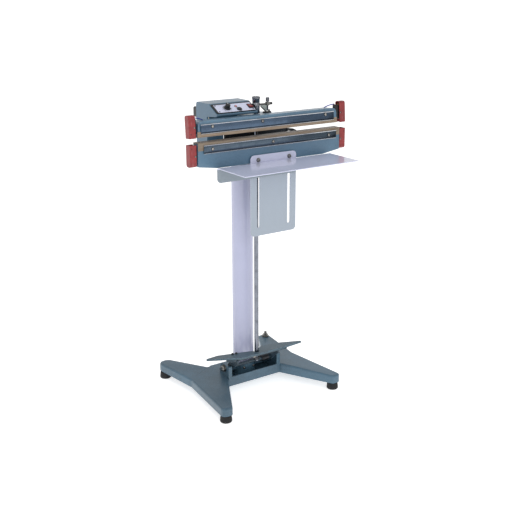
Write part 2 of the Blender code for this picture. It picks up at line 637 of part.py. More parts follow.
def make_panel():
    film = prism(box_outline(CASE_LEFT + 4.0, 2.0, CASE_RIGHT - 4.0, 43.0, 2.0, 1), "Z", 0.3, 1.8)
    window = on_panel(block((-34.5, 13.3, -1.0), (-21.5, 30.7, 3.0)))
    cut(finish("control_panel", on_panel(film), PANEL_FILM), window)
    knob = turned(
        [(0.0, 2.1), (10.0, 2.1), (10.0, 4.0), (7.4, 5.0), (7.0, 15.0), (0.0, 15.0)],
        (0.0, 0.0, 0.0),
        steps=20,
    )
    pointer = block((-1.6, -9.0, 4.5), (1.6, 9.4, 16.0))
    place = Vector((-109.0, 21.5, 0.0))
    bmesh.ops.translate(knob, vec=place, verts=knob.verts)
    bmesh.ops.translate(pointer, vec=place, verts=pointer.verts)
    dial = finish("timer_knob", on_panel(knob), BLACK_PLASTIC)
    join(dial, on_panel(pointer))
    side_view = [(-8.0, 4.0), (0.0, 2.1), (8.0, 2.1), (8.0, 3.6), (0.0, 5.2), (-8.0, 8.0)]
    rocker = prism(side_view, "X", -6.0, 6.0)
    bmesh.ops.translate(rocker, vec=(-28.0, 22.0, 0.0), verts=rocker.verts)
    finish("power_rocker", on_panel(rocker), RED_PLASTIC)
    fuse = turned([(0.0, 2.1), (8.6, 2.1), (8.0, 5.4), (0.0, 5.4)], (-71.0, 12.6, 0.0), steps=16)
    smooth(finish("fuse_holder", on_panel(fuse), BLACK_PLASTIC))
    lamp = turned([(0.0, 2.1), (4.0, 2.1), (3.6, 4.0), (2.0, 5.2), (0.0, 5.6)], (-76.0, 27.0, 0.0), steps=12)
    smooth(finish("indicator_lamp", on_panel(lamp), LAMP_LENS))


# Slotted plate and tray


def make_tray():
    shape = box_outline(-82.7, 556.6, 82.7, 803.5, 12.0)
    plate = finish("slotted_plate", prism(shape, "Y", PLATE_FRONT, PLATE_BACK), PLATE_GREY)
    holes = []
    for side in (-1.0, 1.0):
        x = side * SLOT_X
        slot = box_outline(x - 4.6, 580.5, x + 4.6, 768.0, 4.5, 2)
        holes += [prism(slot, "Y", -190.0, -170.0)]
        holes += [rod_shape(4.4, 170.0, 190.0, (x, 0.0, 789.0), "-Y", 12)]
    cut(plate, *holes)
    profile = [(-328.0, 782.0, 0.0), (-328.0, 780.0, 0.0), (-184.4, 780.0, 3.6), (-184.4, 737.0, 0.0)]
    profile += [(-182.4, 737.0, 0.0), (-182.4, 782.0, 5.6)]
    tray = finish("tray", prism(rounded(profile), "X", -199.0, 207.0), LAVENDER, TRAY)
    corners = []
    for side in (-1.0, 1.0):
        x = side * SLOT_X
        corners += [rod_shape(3.8, 170.0, 200.0, (x, 0.0, 757.0), "-Y", 12)]
    arc = [math.radians(270.0 - 15.0 * k) for k in range(7)]
    trim = [(-205.0, 749.0), (-205.0, 730.0), (-187.0, 730.0)]
    trim += [(-187.0 + 12.0 * math.cos(a), 749.0 + 12.0 * math.sin(a)) for a in arc]
    corners += [prism([(x, z) for x, z in trim], "Y", -190.0, -180.0)]
    corners += [block((80.0, -190.0, 730.0), (215.0, -180.0, 746.0))]
    cut(tray, *corners, parent=TRAY)
    for hand, side in (("left", -1.0), ("right", 1.0)):
        x = side * SLOT_X
        head = [(0.0, 187.0), (5.6, 187.0), (6.2, 186.0), (6.2, 183.0), (6.7, 183.0), (6.7, 181.3)]
        head += [(4.0, 181.3), (4.0, 178.2), (7.0, 178.2), (7.0, 174.7), (0.0, 174.7)]
        bolt = turned(head, (x, 0.0, 789.0), "-Y", 16)
        finish(f"plate_bolt_{hand}", bolt, ZINC)
        clamp = [(0.0, 193.0), (6.0, 193.0), (8.0, 191.0), (8.0, 186.5), (5.0, 184.7), (3.4, 184.7)]
        clamp += [(3.4, 178.2), (7.0, 178.2), (7.0, 172.5), (0.0, 172.5)]
        finish(f"tray_clamp_{hand}", turned(clamp, (x, 0.0, 757.0), "-Y", 16), ZINC, TRAY)


make_base()
make_pedal()
make_rod()
make_head_frame()
make_arm()
make_lower_jaw()
make_upper_jaw()
make_ends()
make_control_box()
make_panel()
make_tray()
bpy.context.view_layer.update()
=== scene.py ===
"""Looks of a foot-operated impulse heat sealer on a floor stand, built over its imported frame.

Lengths are millimetres from the column axis and the floor, with the front towards -Y. They become
metres of the row frame when a piece is finished.
"""

import logging
import math
from dataclasses import dataclass
from enum import Enum
from typing import Callable, ClassVar, Iterable, Sequence, Union

import bmesh
import bpy
from mathutils import Matrix, Vector


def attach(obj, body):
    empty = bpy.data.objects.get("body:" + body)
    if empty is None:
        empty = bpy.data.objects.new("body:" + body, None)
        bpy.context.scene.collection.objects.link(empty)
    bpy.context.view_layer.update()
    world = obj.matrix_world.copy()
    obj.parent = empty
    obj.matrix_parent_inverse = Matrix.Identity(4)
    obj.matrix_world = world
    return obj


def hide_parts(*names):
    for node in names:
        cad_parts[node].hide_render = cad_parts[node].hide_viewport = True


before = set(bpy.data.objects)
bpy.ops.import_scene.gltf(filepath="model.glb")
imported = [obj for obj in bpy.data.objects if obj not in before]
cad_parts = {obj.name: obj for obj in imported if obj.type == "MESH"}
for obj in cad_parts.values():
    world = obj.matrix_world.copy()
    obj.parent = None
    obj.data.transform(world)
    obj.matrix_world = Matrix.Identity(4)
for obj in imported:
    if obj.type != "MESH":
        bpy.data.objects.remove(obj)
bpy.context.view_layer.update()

LOG = logging.getLogger("heat_sealer")

MM = 0.001
COLUMN_Y = 73.0
HINGE = Vector((0.0, 50.0, 862.0))
OPEN_ANGLE = 0.069
ROD_Y = -87.0
SHAFT = Vector((0.0, -50.0, 83.0))
QUARTER = math.pi / 2.0
HANDS = (("left", -1.0), ("right", 1.0))
WELD_MM = 0.0005
WELD_M = 0.00001
FLAT_DEGREES = 0.6

Colour = tuple[float, float, float]
Point = Sequence[float]


def linear(rgb: Sequence[float]) -> tuple[float, float, float, float]:
    """Turns a 0-255 display colour into a linear one with full alpha."""
    parts = [v / 255.0 for v in rgb]
    made = [v / 12.92 if v <= 0.04045 else ((v + 0.055) / 1.055) ** 2.4 for v in parts]
    return made[0], made[1], made[2], 1.0


class Axis(Enum):
    """The directions of the machine."""

    X = "X"
    Y = "Y"
    Z = "Z"


class Body(Enum):
    """The moving bodies of the machine."""

    STAND = "stand"
    JAW = "upper_jaw"
    PEDAL = "pedal"
    ROD = "rod"
    SCREW = "pressure_screw"
    TRAY = "work_tray"
    TIMER = "timer"
    ROCKER = "rocker"


def jaw_turn() -> Matrix:
    """The turn from the closed place of the upper jaw, in which it is drawn, to its open one."""
    there = Matrix.Translation(HINGE)
    return there @ Matrix.Rotation(-OPEN_ANGLE, 4, "X") @ there.inverted()


def along_x(start: float) -> Matrix:
    """Takes a (y, z) section raised along Z to one that runs along X from a start."""
    swap = Matrix(((0.0, 0.0, 1.0), (1.0, 0.0, 0.0), (0.0, 1.0, 0.0))).to_4x4()
    return Matrix.Translation((start, 0.0, 0.0)) @ swap


# Shader nodes


class Socket:
    """An output of a shader node, on which arithmetic makes more nodes."""

    def __init__(self, graph: "Graph", output: bpy.types.NodeSocket) -> None:
        """Wraps one output.

        Args:
            graph: The material's graph, which makes further nodes.
            output: The output socket.
        """
        self.graph = graph
        self.output = output

    def _math(self, operation: str, first: "Value", second: "Value" = 0.0) -> "Socket":
        """Makes a Math node of two values.

        Args:
            operation: Blender's name of the operation.
            first: The left value.
            second: The right value.

        Returns:
            The result.
        """
        inputs = {0: first, 1: second}
        return self.graph.node("ShaderNodeMath", {"operation": operation}, inputs)

    def __add__(self, other: "Value") -> "Socket":
        """Adds a value."""
        return self._math("ADD", self, other)

    def __radd__(self, other: "Value") -> "Socket":
        """Adds to a value."""
        return self._math("ADD", other, self)

    def __mul__(self, other: "Value") -> "Socket":
        """Multiplies by a value."""
        return self._math("MULTIPLY", self, other)

    def __rmul__(self, other: "Value") -> "Socket":
        """Multiplies a value."""
        return self._math("MULTIPLY", other, self)

    def step(self, low: float, high: float) -> "Socket":
        """Rises smoothly from 0 at low to 1 at high.

        Args:
            low: Where the rise starts.
            high: Where it ends.

        Returns:
            The risen value.
        """
        settings = {"interpolation_type": "SMOOTHSTEP"}
        inputs = {"Value": self, "From Min": low, "From Max": high}
        return self.graph.node("ShaderNodeMapRange", settings, inputs)

    def blend(self, first: "Value", second: "Value") -> "Socket":
        """Mixes two colours, by this value as the second's share.

        Args:
            first: The colour at 0.
            second: The colour at 1.

        Returns:
            The mixed colour.
        """
        settings = {"data_type": "RGBA"}
        inputs = {0: self, 6: first, 7: second}
        return self.graph.node("ShaderNodeMix", settings, inputs, 2)


Value = Union[float, Sequence[float], Socket]


class Graph:
    """One material's node tree, with its Principled shader."""

    def __init__(self, name: str) -> None:
        """Makes an empty material.

        Args:
            name: The material's name.
        """
        self.material = bpy.data.materials.new(name)
        self.material.use_nodes = True
        self.tree = self.material.node_tree
        self.shader = self.tree.nodes["Principled BSDF"]

    def node(
        self,
        kind: str,
        settings: dict[str, object] | None = None,
        inputs: dict[int | str, Value] | None = None,
        out: int | str = 0,
    ) -> Socket:
        """Makes any node.

        Args:
            kind: Blender's type name.
            settings: Its properties, set before its sockets.
            inputs: Values or sockets by input name or number.
            out: The output wanted.

        Returns:
            That output.
        """
        made = self.tree.nodes.new(kind)
        for key, value in (settings or {}).items():
            setattr(made, key, value)
        for key, value in (inputs or {}).items():
            if isinstance(value, Socket):
                self.tree.links.new(value.output, made.inputs[key])
            else:
                made.inputs[key].default_value = value
        return Socket(self, made.outputs[out])

    def place(self, scale: Point = (1.0, 1.0, 1.0), turn: Point = (0.0, 0.0, 0.0)) -> Socket:
        """The surface point in the piece's own coordinates.

        Args:
            scale: Stretch along each axis.
            turn: Turn about each axis.

        Returns:
            The point.
        """
        at = self.node("ShaderNodeTexCoord", out="Object")
        inputs = {"Vector": at, "Scale": tuple(scale), "Rotation": tuple(turn)}
        return self.node("ShaderNodeMapping", None, inputs)

    def noise(self, scale: float, detail: float = 3.0, at: Socket | None = None) -> Socket:
        """A noise between 0 and 1.

        Args:
            scale: Waves to the metre.
            detail: Octaves.
            at: Where it is read, the surface point if left out.

        Returns:
            The noise.
        """
        inputs = {"Vector": at or self.place(), "Scale": scale, "Detail": detail}
        return self.node("ShaderNodeTexNoise", None, inputs)

    def split(self, at: Socket, axis: Axis) -> Socket:
        """One coordinate of a point."""
        return self.node("ShaderNodeSeparateXYZ", None, {0: at}, axis.value)

    def sine(self, value: Socket) -> Socket:
        """The sine of a value."""
        return self.node("ShaderNodeMath", {"operation": "SINE"}, {0: value})

    def bump(self, height: Socket, distance: float, strength: float = 1.0) -> None:
        """Raises the surface by a height.

        Args:
            height: The height, from 0 to 1.
            distance: What 1 means, in metres.
            strength: Share of it that shows.
        """
        inputs = {"Height": height, "Distance": distance, "Strength": strength}
        self.drive("Normal", self.node("ShaderNodeBump", None, inputs))

    def drive(self, name: str, value: Socket) -> None:
        """Links a value that varies over the surface to the shader."""
        self.tree.links.new(value.output, self.shader.inputs[name])

    def fix(self, **constants: object) -> None:
        """Sets constants on the shader, by names with _ for a space."""
        for name, value in constants.items():
            self.shader.inputs[name.replace("_", " ")].default_value = value


# Finishes

SPECK = (214, 220, 228)
DUST = (205, 203, 196)
BLOOM = (84, 84, 82)
LENS_GLOW = (236, 176, 178)
# Height in metres over which the painted shade below a set height fades in.
SHADE_FADE = 0.003


class Finish:
    """A surface finish, made into one material however often it is asked for."""

    made: ClassVar[dict["Finish", bpy.types.Material]] = {}
    name: str

    def material(self) -> bpy.types.Material:
        """The material of this finish."""
        if self not in Finish.made:
            graph = Graph(self.name)
            self.build(graph)
            Finish.made[self] = graph.material
        return Finish.made[self]

    def build(self, graph: Graph) -> None:
        """Fills the graph with this finish's nodes."""
        raise NotImplementedError


@dataclass(frozen=True)
class Enamel(Finish):
    """Sprayed and baked enamel on sheet steel, with a fine orange peel."""

    name: str
    rgb: Colour
    roughness: float = 0.34
    peel: float = 0.25
    coat: float = 0.25
    mottle: float = 0.10
    primer: Colour = (62, 74, 84)
    dust: float = 0.05
    # A height in metres below which the paint turns to a second colour as a painted shade, and that
    # colour.
    low_z: float = 0.0
    low_rgb: Colour = (140, 150, 160)
    coat_roughness: float = 0.16
    chips: float = 0.0

    def build(self, graph: Graph) -> None:
        """Mottled colour, dust lying on flat tops, worn chips, orange peel and a painted shade
        below a set height.
        """
        cloud = graph.noise(7.0, 4.0)
        speck = graph.noise(1300.0, 1.0)
        fine = graph.noise(190.0, 3.0)
        dark = tuple(v * (1.0 - self.mottle) for v in self.rgb)
        light = tuple(min(v * (1.0 + self.mottle), 255.0) for v in self.rgb)
        mixed = (cloud * 0.7 + fine * 0.3).step(0.36, 0.64)
        colour = mixed.blend(linear(dark), linear(light))
        colour = (speck.step(0.66, 0.74) * 0.12).blend(colour, linear(SPECK))
        up = graph.split(graph.node("ShaderNodeNewGeometry", out="Normal"), Axis.Z).step(0.8, 1.0)
        settled = up * graph.noise(34.0, 5.0).step(0.45, 0.75) * self.dust
        colour = settled.blend(colour, linear(DUST))
        # Painted shade: below a set height the colour turns greyer, standing for the shade under an
        # overhang.
        if self.low_z > 0.0:
            under = graph.split(graph.place(), Axis.Z).step(self.low_z, self.low_z - SHADE_FADE)
            colour = under.blend(colour, linear(self.low_rgb))
        if self.chips > 0.0:
            least = 0.66 - 0.16 * self.chips
            chip = graph.noise(210.0, 6.0).step(least, least + 0.03)
            colour = (chip * 0.8).blend(colour, linear(self.primer))
        graph.drive("Base Color", colour)
        rough = graph.noise(26.0, 5.0) * 0.16 + (self.roughness - 0.08) + settled * 0.6
        graph.drive("Roughness", rough)
        graph.bump(graph.noise(620.0, 2.0), 0.00022, self.peel)
        graph.fix(Coat_Weight=self.coat, Coat_Roughness=self.coat_roughness, IOR=1.48)


@dataclass(frozen=True)
class Plating(Finish):
    """Bright metal: chromium, zinc or polished steel, with streaks along one axis."""

    name: str
    rgb: Colour
    roughness: float
    grain: tuple[float, float, float] = (400.0, 400.0, 400.0)
    grain_depth: float = 0.15
    tarnish: Colour = (120, 116, 108)
    tarnish_share: float = 0.25

    def build(self, graph: Graph) -> None:
        """Fine streaks, clouded tarnish and finger marks."""
        streak = graph.noise(1.0, 4.0, graph.place(self.grain))
        cloud = graph.noise(45.0, 5.0).step(0.42, 0.72)
        streaked = tuple(v * 0.86 for v in self.rgb)
        colour = streak.step(0.3, 0.7).blend(linear(streaked), linear(self.rgb))
        colour = (cloud * self.tarnish_share).blend(colour, linear(self.tarnish))
        graph.drive("Base Color", colour)
        rough = streak * 0.12 + cloud * 0.10 + (self.roughness - 0.08)
        graph.drive("Roughness", rough)
        graph.bump(streak, 0.00003, self.grain_depth)
        graph.fix(Metallic=1.0)


@dataclass(frozen=True)
class Moulding(Finish):
    """Injection-moulded plastic with a faint spark-eroded grain and flow marks."""

    name: str
    rgb: Colour
    roughness: float = 0.38
    grain: float = 0.3
    depth_rgb: Colour | None = None

    def build(self, graph: Graph) -> None:
        """Flow marks, scuffs and mould grain."""
        flow = graph.noise(14.0, 3.0, graph.place((1.0, 1.0, 3.5)))
        scuff = graph.noise(160.0, 6.0, graph.place((1.0, 1.0, 0.25))).step(0.60, 0.74)
        deep = self.depth_rgb or tuple(v * 0.82 for v in self.rgb)
        colour = flow.step(0.35, 0.65).blend(linear(deep), linear(self.rgb))
        pale = tuple(v + (255.0 - v) * 0.35 for v in self.rgb)
        colour = (scuff * 0.35).blend(colour, linear(pale))
        graph.drive("Base Color", colour)
        graph.drive("Roughness", scuff * 0.2 + flow * 0.1 + (self.roughness - 0.05))
        graph.bump(graph.noise(1500.0, 2.0), 0.0001, self.grain)
        graph.fix(IOR=1.5, Specular_IOR_Level=0.5)


@dataclass(frozen=True)
class Rubber(Finish):
    """Black vulcanised rubber with a dusty bloom."""

    name: str = "foot_rubber"
    rgb: Colour = (17, 18, 21)

    def build(self, graph: Graph) -> None:
        """Bloom in patches over a matt ground."""
        bloom = graph.noise(60.0, 6.0).step(0.45, 0.8) * 0.2
        graph.drive("Base Color", bloom.blend(linear(self.rgb), linear(BLOOM)))
        graph.drive("Roughness", bloom * 0.3 + 0.66)
        graph.bump(graph.noise(900.0, 4.0), 0.00025, 0.35)


@dataclass(frozen=True)
class GlassTape(Finish):
    """Woven glass cloth coated with a brown non-stick resin."""

    name: str
    rgb: Colour = (150, 128, 104)
    burnt: Colour = (92, 70, 50)
    threads: float = 1150.0

    def build(self, graph: Graph) -> None:
        """A plain weave, heat stains and long soft creases."""
        at = graph.place()
        weave = graph.split(at, Axis.X) * (self.threads * math.tau)
        across = (graph.split(at, Axis.Y) + graph.split(at, Axis.Z)) * (self.threads * math.tau)
        cloth = graph.sine(weave) * graph.sine(across) * 0.5 + 0.5
        stain = graph.noise(1.0, 5.0, graph.place((26.0, 160.0, 160.0))).step(0.42, 0.72)
        pale = tuple(v * 1.1 for v in self.rgb)
        colour = cloth.blend(linear(self.rgb), linear(pale))
        colour = (stain * 0.5).blend(colour, linear(self.burnt))
        graph.drive("Base Color", colour)
        graph.drive("Roughness", stain * 0.12 + cloth * 0.06 + 0.36)
        crease = graph.noise(1.0, 2.0, graph.place((9.0, 70.0, 110.0)))
        graph.bump(cloth * 0.2 + crease, 0.0004, 0.55)
        graph.fix(Sheen_Weight=0.15, Coat_Weight=0.12, Coat_Roughness=0.3)


@dataclass(frozen=True)
class PrintedFilm(Finish):
    """Satin polyester film of the control face."""

    name: str = "panel_film"
    rgb: Colour = (204, 208, 230)

    def build(self, graph: Graph) -> None:
        """A satin grain and faint finger marks."""
        marks = graph.noise(55.0, 6.0).step(0.5, 0.8)
        dim = tuple(v * 0.93 for v in self.rgb)
        graph.drive("Base Color", marks.blend(linear(self.rgb), linear(dim)))
        graph.drive("Roughness", marks * 0.18 + 0.26)
        graph.bump(graph.noise(2600.0, 1.0), 0.00006, 0.25)
        graph.fix(Coat_Weight=0.2, Coat_Roughness=0.2)


@dataclass(frozen=True)
class Lens(Finish):
    """Tinted clear plastic of the pilot lamp."""

    name: str = "lamp_lens"
    rgb: Colour = (206, 120, 128)

    def build(self, graph: Graph) -> None:
        """A tint that deepens in patches, with moulded facets."""
        patch = graph.noise(420.0, 2.0)
        graph.drive("Base Color", patch.blend(linear(self.rgb), linear(LENS_GLOW)))
        graph.bump(graph.noise(700.0, 1.0), 0.0002, 0.4)
        graph.fix(Roughness=0.12, Transmission_Weight=0.35, IOR=1.49)


@dataclass(frozen=True)
class Laminate(Finish):
    """A stack of varnished sheets or a coated board, with layers along one axis."""

    name: str
    rgb: Colour
    layers: float
    axis: Axis = Axis.Y
    metallic: float = 0.4

    def build(self, graph: Graph) -> None:
        """Layer lines with varnish runs."""
        line = graph.split(graph.place(), self.axis) * (self.layers * math.tau)
        wave = graph.sine(line) * 0.5 + 0.5
        run = graph.noise(80.0, 4.0)
        dark = tuple(v * 0.55 for v in self.rgb)
        colour = (wave * 0.6 + run * 0.4).step(0.2, 0.8).blend(linear(dark), linear(self.rgb))
        graph.drive("Base Color", colour)
        graph.drive("Roughness", run * 0.3 + 0.3)
        graph.bump(wave, 0.0002, 0.5)
        graph.fix(Metallic=self.metallic)


BLUE = Enamel("blue_grey_enamel", (75, 105, 127), mottle=0.06, dust=0.02)
# Painted highlight: a lighter copy of the blue-grey paint for rounded edges, with worn chips as
# well.
BLUE_HIGHLIGHT_WORN_EDGE = Enamel("blue_grey_highlight_worn_edge", (112, 143, 162), chips=0.35)
BASE = Enamel("base_enamel", (65, 94, 112), roughness=0.40, peel=0.4, dust=0.02)
# Painted highlight: a lighter copy of the base paint for rounded edges, with chips down to primer.
BASE_HIGHLIGHT_WORN_EDGE = Enamel("base_highlight_worn_edge", (92, 120, 138), roughness=0.42, chips=0.8, primer=(52, 60, 66))
PEDAL = Enamel("pedal_enamel", (62, 86, 99), roughness=0.42, peel=0.4, chips=0.25)
# Painted shade: a darker copy of the pedal paint for the yoke and shaft, which sit under the
# treadle.
PEDAL_PAINTED_SHADE = Enamel("yoke_painted_shade_enamel", (44, 62, 74), roughness=0.5, peel=0.4, dust=0.0)
LAVENDER = Enamel("lavender_enamel", (178, 181, 207), 0.2, 0.08, 0.4, 0.012, dust=0.0)
# Painted highlight: a lighter copy of the lavender paint for rounded edges.
LAVENDER_HIGHLIGHT_EDGE = Enamel("lavender_highlight_edge", (214, 216, 236), 0.2, 0.08, 0.4, 0.012, dust=0.0)
# Painted shade: below 778.5 mm, on the rear flange under the tray, the paint turns greyer.
TRAY = Enamel(
    "tray_enamel",
    (206, 209, 232),
    roughness=0.16,
    peel=0.02,
    coat=0.35,
    mottle=0.01,
    dust=0.0,
    low_z=0.7785,
    low_rgb=(126, 137, 145),
    coat_roughness=0.06,
)
# Painted shade: below 780 mm, where the tray shades the plate, the paint turns grey-green.
PLATE = Enamel(
    "plate_enamel",
    (192, 195, 216),
    roughness=0.24,
    peel=0.1,
    coat=0.3,
    mottle=0.015,
    dust=0.0,
    low_z=0.7800,
    low_rgb=(150, 160, 171),
)
GUSSET = Enamel("gusset_enamel", (176, 186, 182), 0.3, dust=0.0)
BLACK = Enamel("black_enamel", (26, 29, 34), roughness=0.4, chips=0.25, primer=(96, 98, 100))
STRIP_GRAIN = (22.0, 900.0, 900.0)
CHROME = Plating("chromium", (150, 153, 160), 0.10, (420.0, 420.0, 20.0), 0.1, (60, 62, 68), 0.5)
ROD_CHROME = Plating(
    "rod_chromium", (136, 140, 150), 0.16, (420.0, 420.0, 8.0), 0.3, (70, 72, 80), 0.5
)
BRIGHT = Plating("bright_zinc", (186, 184, 180), 0.24, tarnish=(66, 62, 56), tarnish_share=0.5)
ZINC = Plating("zinc_plate", (150, 149, 146), 0.26, tarnish=(84, 78, 68))
BRASS = Plating("brass", (196, 158, 92), 0.30, tarnish=(96, 74, 44))
STEEL = Plating("blued_steel", (84, 86, 90), 0.36, tarnish=(54, 44, 38))
SPRING = Plating("spring_wire", (150, 152, 156), 0.26, tarnish=(84, 76, 66))
# Painted reflection: the strips' dark blue metal colours paint the blue they reflect, the darker
# foot colour paints shade and dark reflection, and the pale rim colour paints a highlight.
STRIP_HIGH = Plating("upper_strip", (90, 108, 130), 0.14, STRIP_GRAIN, 0.3, (72, 84, 100))
STRIP_SHADE = Plating("strip_foot_shade", (58, 68, 80), 0.2, STRIP_GRAIN, 0.3, (40, 46, 56))
STRIP_LOW = Plating("lower_strip", (92, 106, 120), 0.16, STRIP_GRAIN, 0.3, (56, 68, 82))
STRIP_HIGHLIGHT = Plating("strip_edge_highlight", (226, 230, 236), 0.12, STRIP_GRAIN, 0.1)
RIBBON = Plating("ribbon", (168, 158, 144), 0.32, (30.0, 1200.0, 1200.0), 0.3, (92, 70, 96), 0.5)
RED = Moulding("red_moulding", (140, 46, 48), 0.34, depth_rgb=(124, 40, 42))
BLACK_PLASTIC = Moulding("black_moulding", (24, 25, 28), 0.36)
WHITE_INK = Moulding("white_ink", (232, 234, 236), 0.5, 0.1)
BLACK_INK = Moulding("black_ink", (20, 21, 24), 0.5, 0.1)
CREAM = Moulding("cream_sleeve", (224, 220, 204), 0.5, 0.2)
BLUE_SLEEVE = Moulding("blue_sleeve", (38, 62, 158), 0.42, 0.2)
TAPE_HIGH = GlassTape("upper_glass_tape", (134, 117, 98))
TAPE_LOW = GlassTape("lower_glass_tape", (120, 106, 90))
FILM = PrintedFilm()
LENS = Lens()
FOOT = Rubber()
CORE = Laminate("core_laminations", (104, 102, 100), 1400.0)
BOARD = Laminate("board_laminate", (44, 104, 66), 260.0, Axis.X, 0.0)


# Shapes


class Shape:
    """A mesh being made, in millimetres from the column axis and the floor."""

    def __init__(self) -> None:
        """Starts an empty mesh."""
        self.bm = bmesh.new()

    @classmethod
    def box(cls, low: Point, high: Point) -> "Shape":
        """A block between two corners.

        Args:
            low: The lowest corner.
            high: The highest corner.

        Returns:
            The block.
        """
        made = cls()
        bmesh.ops.create_cube(made.bm, size=1.0)
        start, end = Vector(low), Vector(high)
        bmesh.ops.scale(made.bm, vec=end - start, verts=made.bm.verts)
        return made.move((start + end) / 2.0)

    @classmethod
    def slab(cls, outline: Iterable[tuple[float, float]], depth: float) -> "Shape":
        """A flat outline in X and Y, raised along Z.

        Args:
            outline: Its corners in order.
            depth: How far it rises.

        Returns:
            The slab.
        """
        made = cls()
        face = made.bm.faces.new([made.bm.verts.new((a, b, 0.0)) for a, b in outline])
        risen = bmesh.ops.extrude_face_region(made.bm, geom=[face])
        verts = [item for item in risen["geom"] if isinstance(item, bmesh.types.BMVert)]
        bmesh.ops.translate(made.bm, vec=(0.0, 0.0, depth), verts=verts)
        bmesh.ops.recalc_face_normals(made.bm, faces=made.bm.faces)
        return made

    @classmethod
    def hexagon(cls, across: float, low: float, high: float, chamfer: float = 0.8) -> "Shape":
        """A hexagon bar with chamfered ends, along Z.

        Args:
            across: Width across its flats.
            low: Its lowest height.
            high: Its highest height.
            chamfer: Width of the chamfers.

        Returns:
            The bar.
        """
        made = cls()
        bmesh.ops.create_cone(
            made.bm,
            cap_ends=True,
            segments=6,
            radius1=across / math.sqrt(3.0),
            radius2=across / math.sqrt(3.0),
            depth=high - low,
        )
        made.move((0.0, 0.0, (low + high) / 2.0))
        rims = [e for e in made.bm.edges if abs(e.verts[0].co.z - e.verts[1].co.z) < 1e-6]
        made._bevel(rims, chamfer, 2)
        return made

    @classmethod
    def turned(cls, profile: Sequence[tuple[float, float]], steps: int = 32) -> "Shape":
        """A (radius, height) profile spun about Z.

        Args:
            profile: Its corners; a radius of 0 meets the axis.
            steps: Sides of the full turn.

        Returns:
            The turned shape.
        """
        made = cls()
        verts = [made.bm.verts.new((r, 0.0, h)) for r, h in profile]
        edges = [made.bm.edges.new(pair) for pair in zip(verts, verts[1:])]
        bmesh.ops.spin(
            made.bm,
            geom=verts + edges,
            axis=(0.0, 0.0, 1.0),
            cent=(0.0, 0.0, 0.0),
            steps=steps,
            angle=math.tau,
            use_merge=True,
        )
        bmesh.ops.remove_doubles(made.bm, verts=made.bm.verts, dist=WELD_MM)
        bmesh.ops.recalc_face_normals(made.bm, faces=made.bm.faces)
        return made

    @classmethod
    def ring(cls, radius: float, section: float, steps: int = 40, sides: int = 10) -> "Shape":
        """A round-section ring about Z.

        Args:
            radius: From the axis to the middle of the section.
            section: Radius of the section.
            steps: Sides of the full turn.
            sides: Sides of the section.

        Returns:
            The ring.
        """
        return cls.helix(radius, section, 0.0, 1.0, steps, sides, True)

    @classmethod
    def helix(
        cls,
        radius: float,
        section: float,
        rise: float,
        turns: float,
        steps: int = 24,
        sides: int = 10,
        closed: bool = False,
    ) -> "Shape":
        """A round wire wound about Z.

        Args:
            radius: From the axis to the middle of the wire.
            section: Radius of the wire.
            rise: Height gained in all.
            turns: Number of turns.
            steps: Steps to a turn.
            sides: Sides of the wire.
            closed: True for a ring.

        Returns:
            The wound wire.
        """
        made = cls()
        bmesh.ops.create_circle(made.bm, segments=sides, radius=section, cap_ends=not closed)
        turn = Matrix.Translation((radius, 0.0, 0.0)) @ Matrix.Rotation(QUARTER, 4, "X")
        bmesh.ops.transform(made.bm, matrix=turn, verts=made.bm.verts)
        count = int(steps * turns)
        geom = list(made.bm.verts) + list(made.bm.edges) + list(made.bm.faces)
        bmesh.ops.spin(
            made.bm,
            geom=geom,
            axis=(0.0, 0.0, 1.0),
            cent=(0.0, 0.0, 0.0),
            dvec=(0.0, 0.0, rise / count),
            steps=count,
            angle=math.tau * turns,
            use_merge=closed,
        )
        bmesh.ops.remove_doubles(made.bm, verts=made.bm.verts, dist=WELD_MM)
        bmesh.ops.recalc_face_normals(made.bm, faces=made.bm.faces)
        return made

    @classmethod
    def wire(cls, path: Iterable[Point], radius: float) -> "Shape":
        """A round wire along a smooth path.

        Args:
            path: Points it passes near.
            radius: Radius of the wire.

        Returns:
            The wire.
        """
        points = [Vector(p) for p in path]
        curve = bpy.data.curves.new("wire", "CURVE")
        curve.dimensions = "3D"
        spline = curve.splines.new("NURBS")
        spline.points.add(len(points) - 1)
        for knot, place in zip(spline.points, points):
            knot.co = (*place, 1.0)
        spline.use_endpoint_u = True
        spline.order_u = 4
        curve.resolution_u = 6
        curve.bevel_depth = radius
        curve.bevel_resolution = 3
        curve.use_fill_caps = True
        return cls.from_object(bpy.data.objects.new("wire", curve))

    @classmethod
    def from_object(cls, obj: bpy.types.Object) -> "Shape":
        """The evaluated mesh of a helper object, welded; the helper is removed."""
        bpy.context.scene.collection.objects.link(obj)
        bpy.context.view_layer.update()
        graph = bpy.context.evaluated_depsgraph_get()
        mesh = bpy.data.meshes.new_from_object(obj.evaluated_get(graph))
        made = cls()
        made.bm.from_mesh(mesh)
        bmesh.ops.remove_doubles(made.bm, verts=made.bm.verts, dist=WELD_MM)
        bpy.data.objects.remove(obj, do_unlink=True)
        bpy.data.meshes.remove(mesh)
        return made

    def copy(self) -> "Shape":
        """Another mesh of the same shape."""
        made = Shape()
        made.bm.free()
        made.bm = self.bm.copy()
        return made

    def put(self, matrix: Matrix) -> "Shape":
        """Turns and moves by a matrix."""
        bmesh.ops.transform(self.bm, matrix=matrix, verts=self.bm.verts)
        return self

    def move(self, by: Point) -> "Shape":
        """Moves by a distance."""
        return self.put(Matrix.Translation(Vector(by)))

    def turn(self, angle: float, about: Axis = Axis.Z) -> "Shape":
        """Turns about an axis through the origin."""
        return self.put(Matrix.Rotation(angle, 4, about.value))

    def face_front(self, at: Point) -> "Shape":
        """Points a shape made along Z to the front, with its origin at a place."""
        return self.put(Matrix.Translation(Vector(at)) @ Matrix.Rotation(QUARTER, 4, "X"))

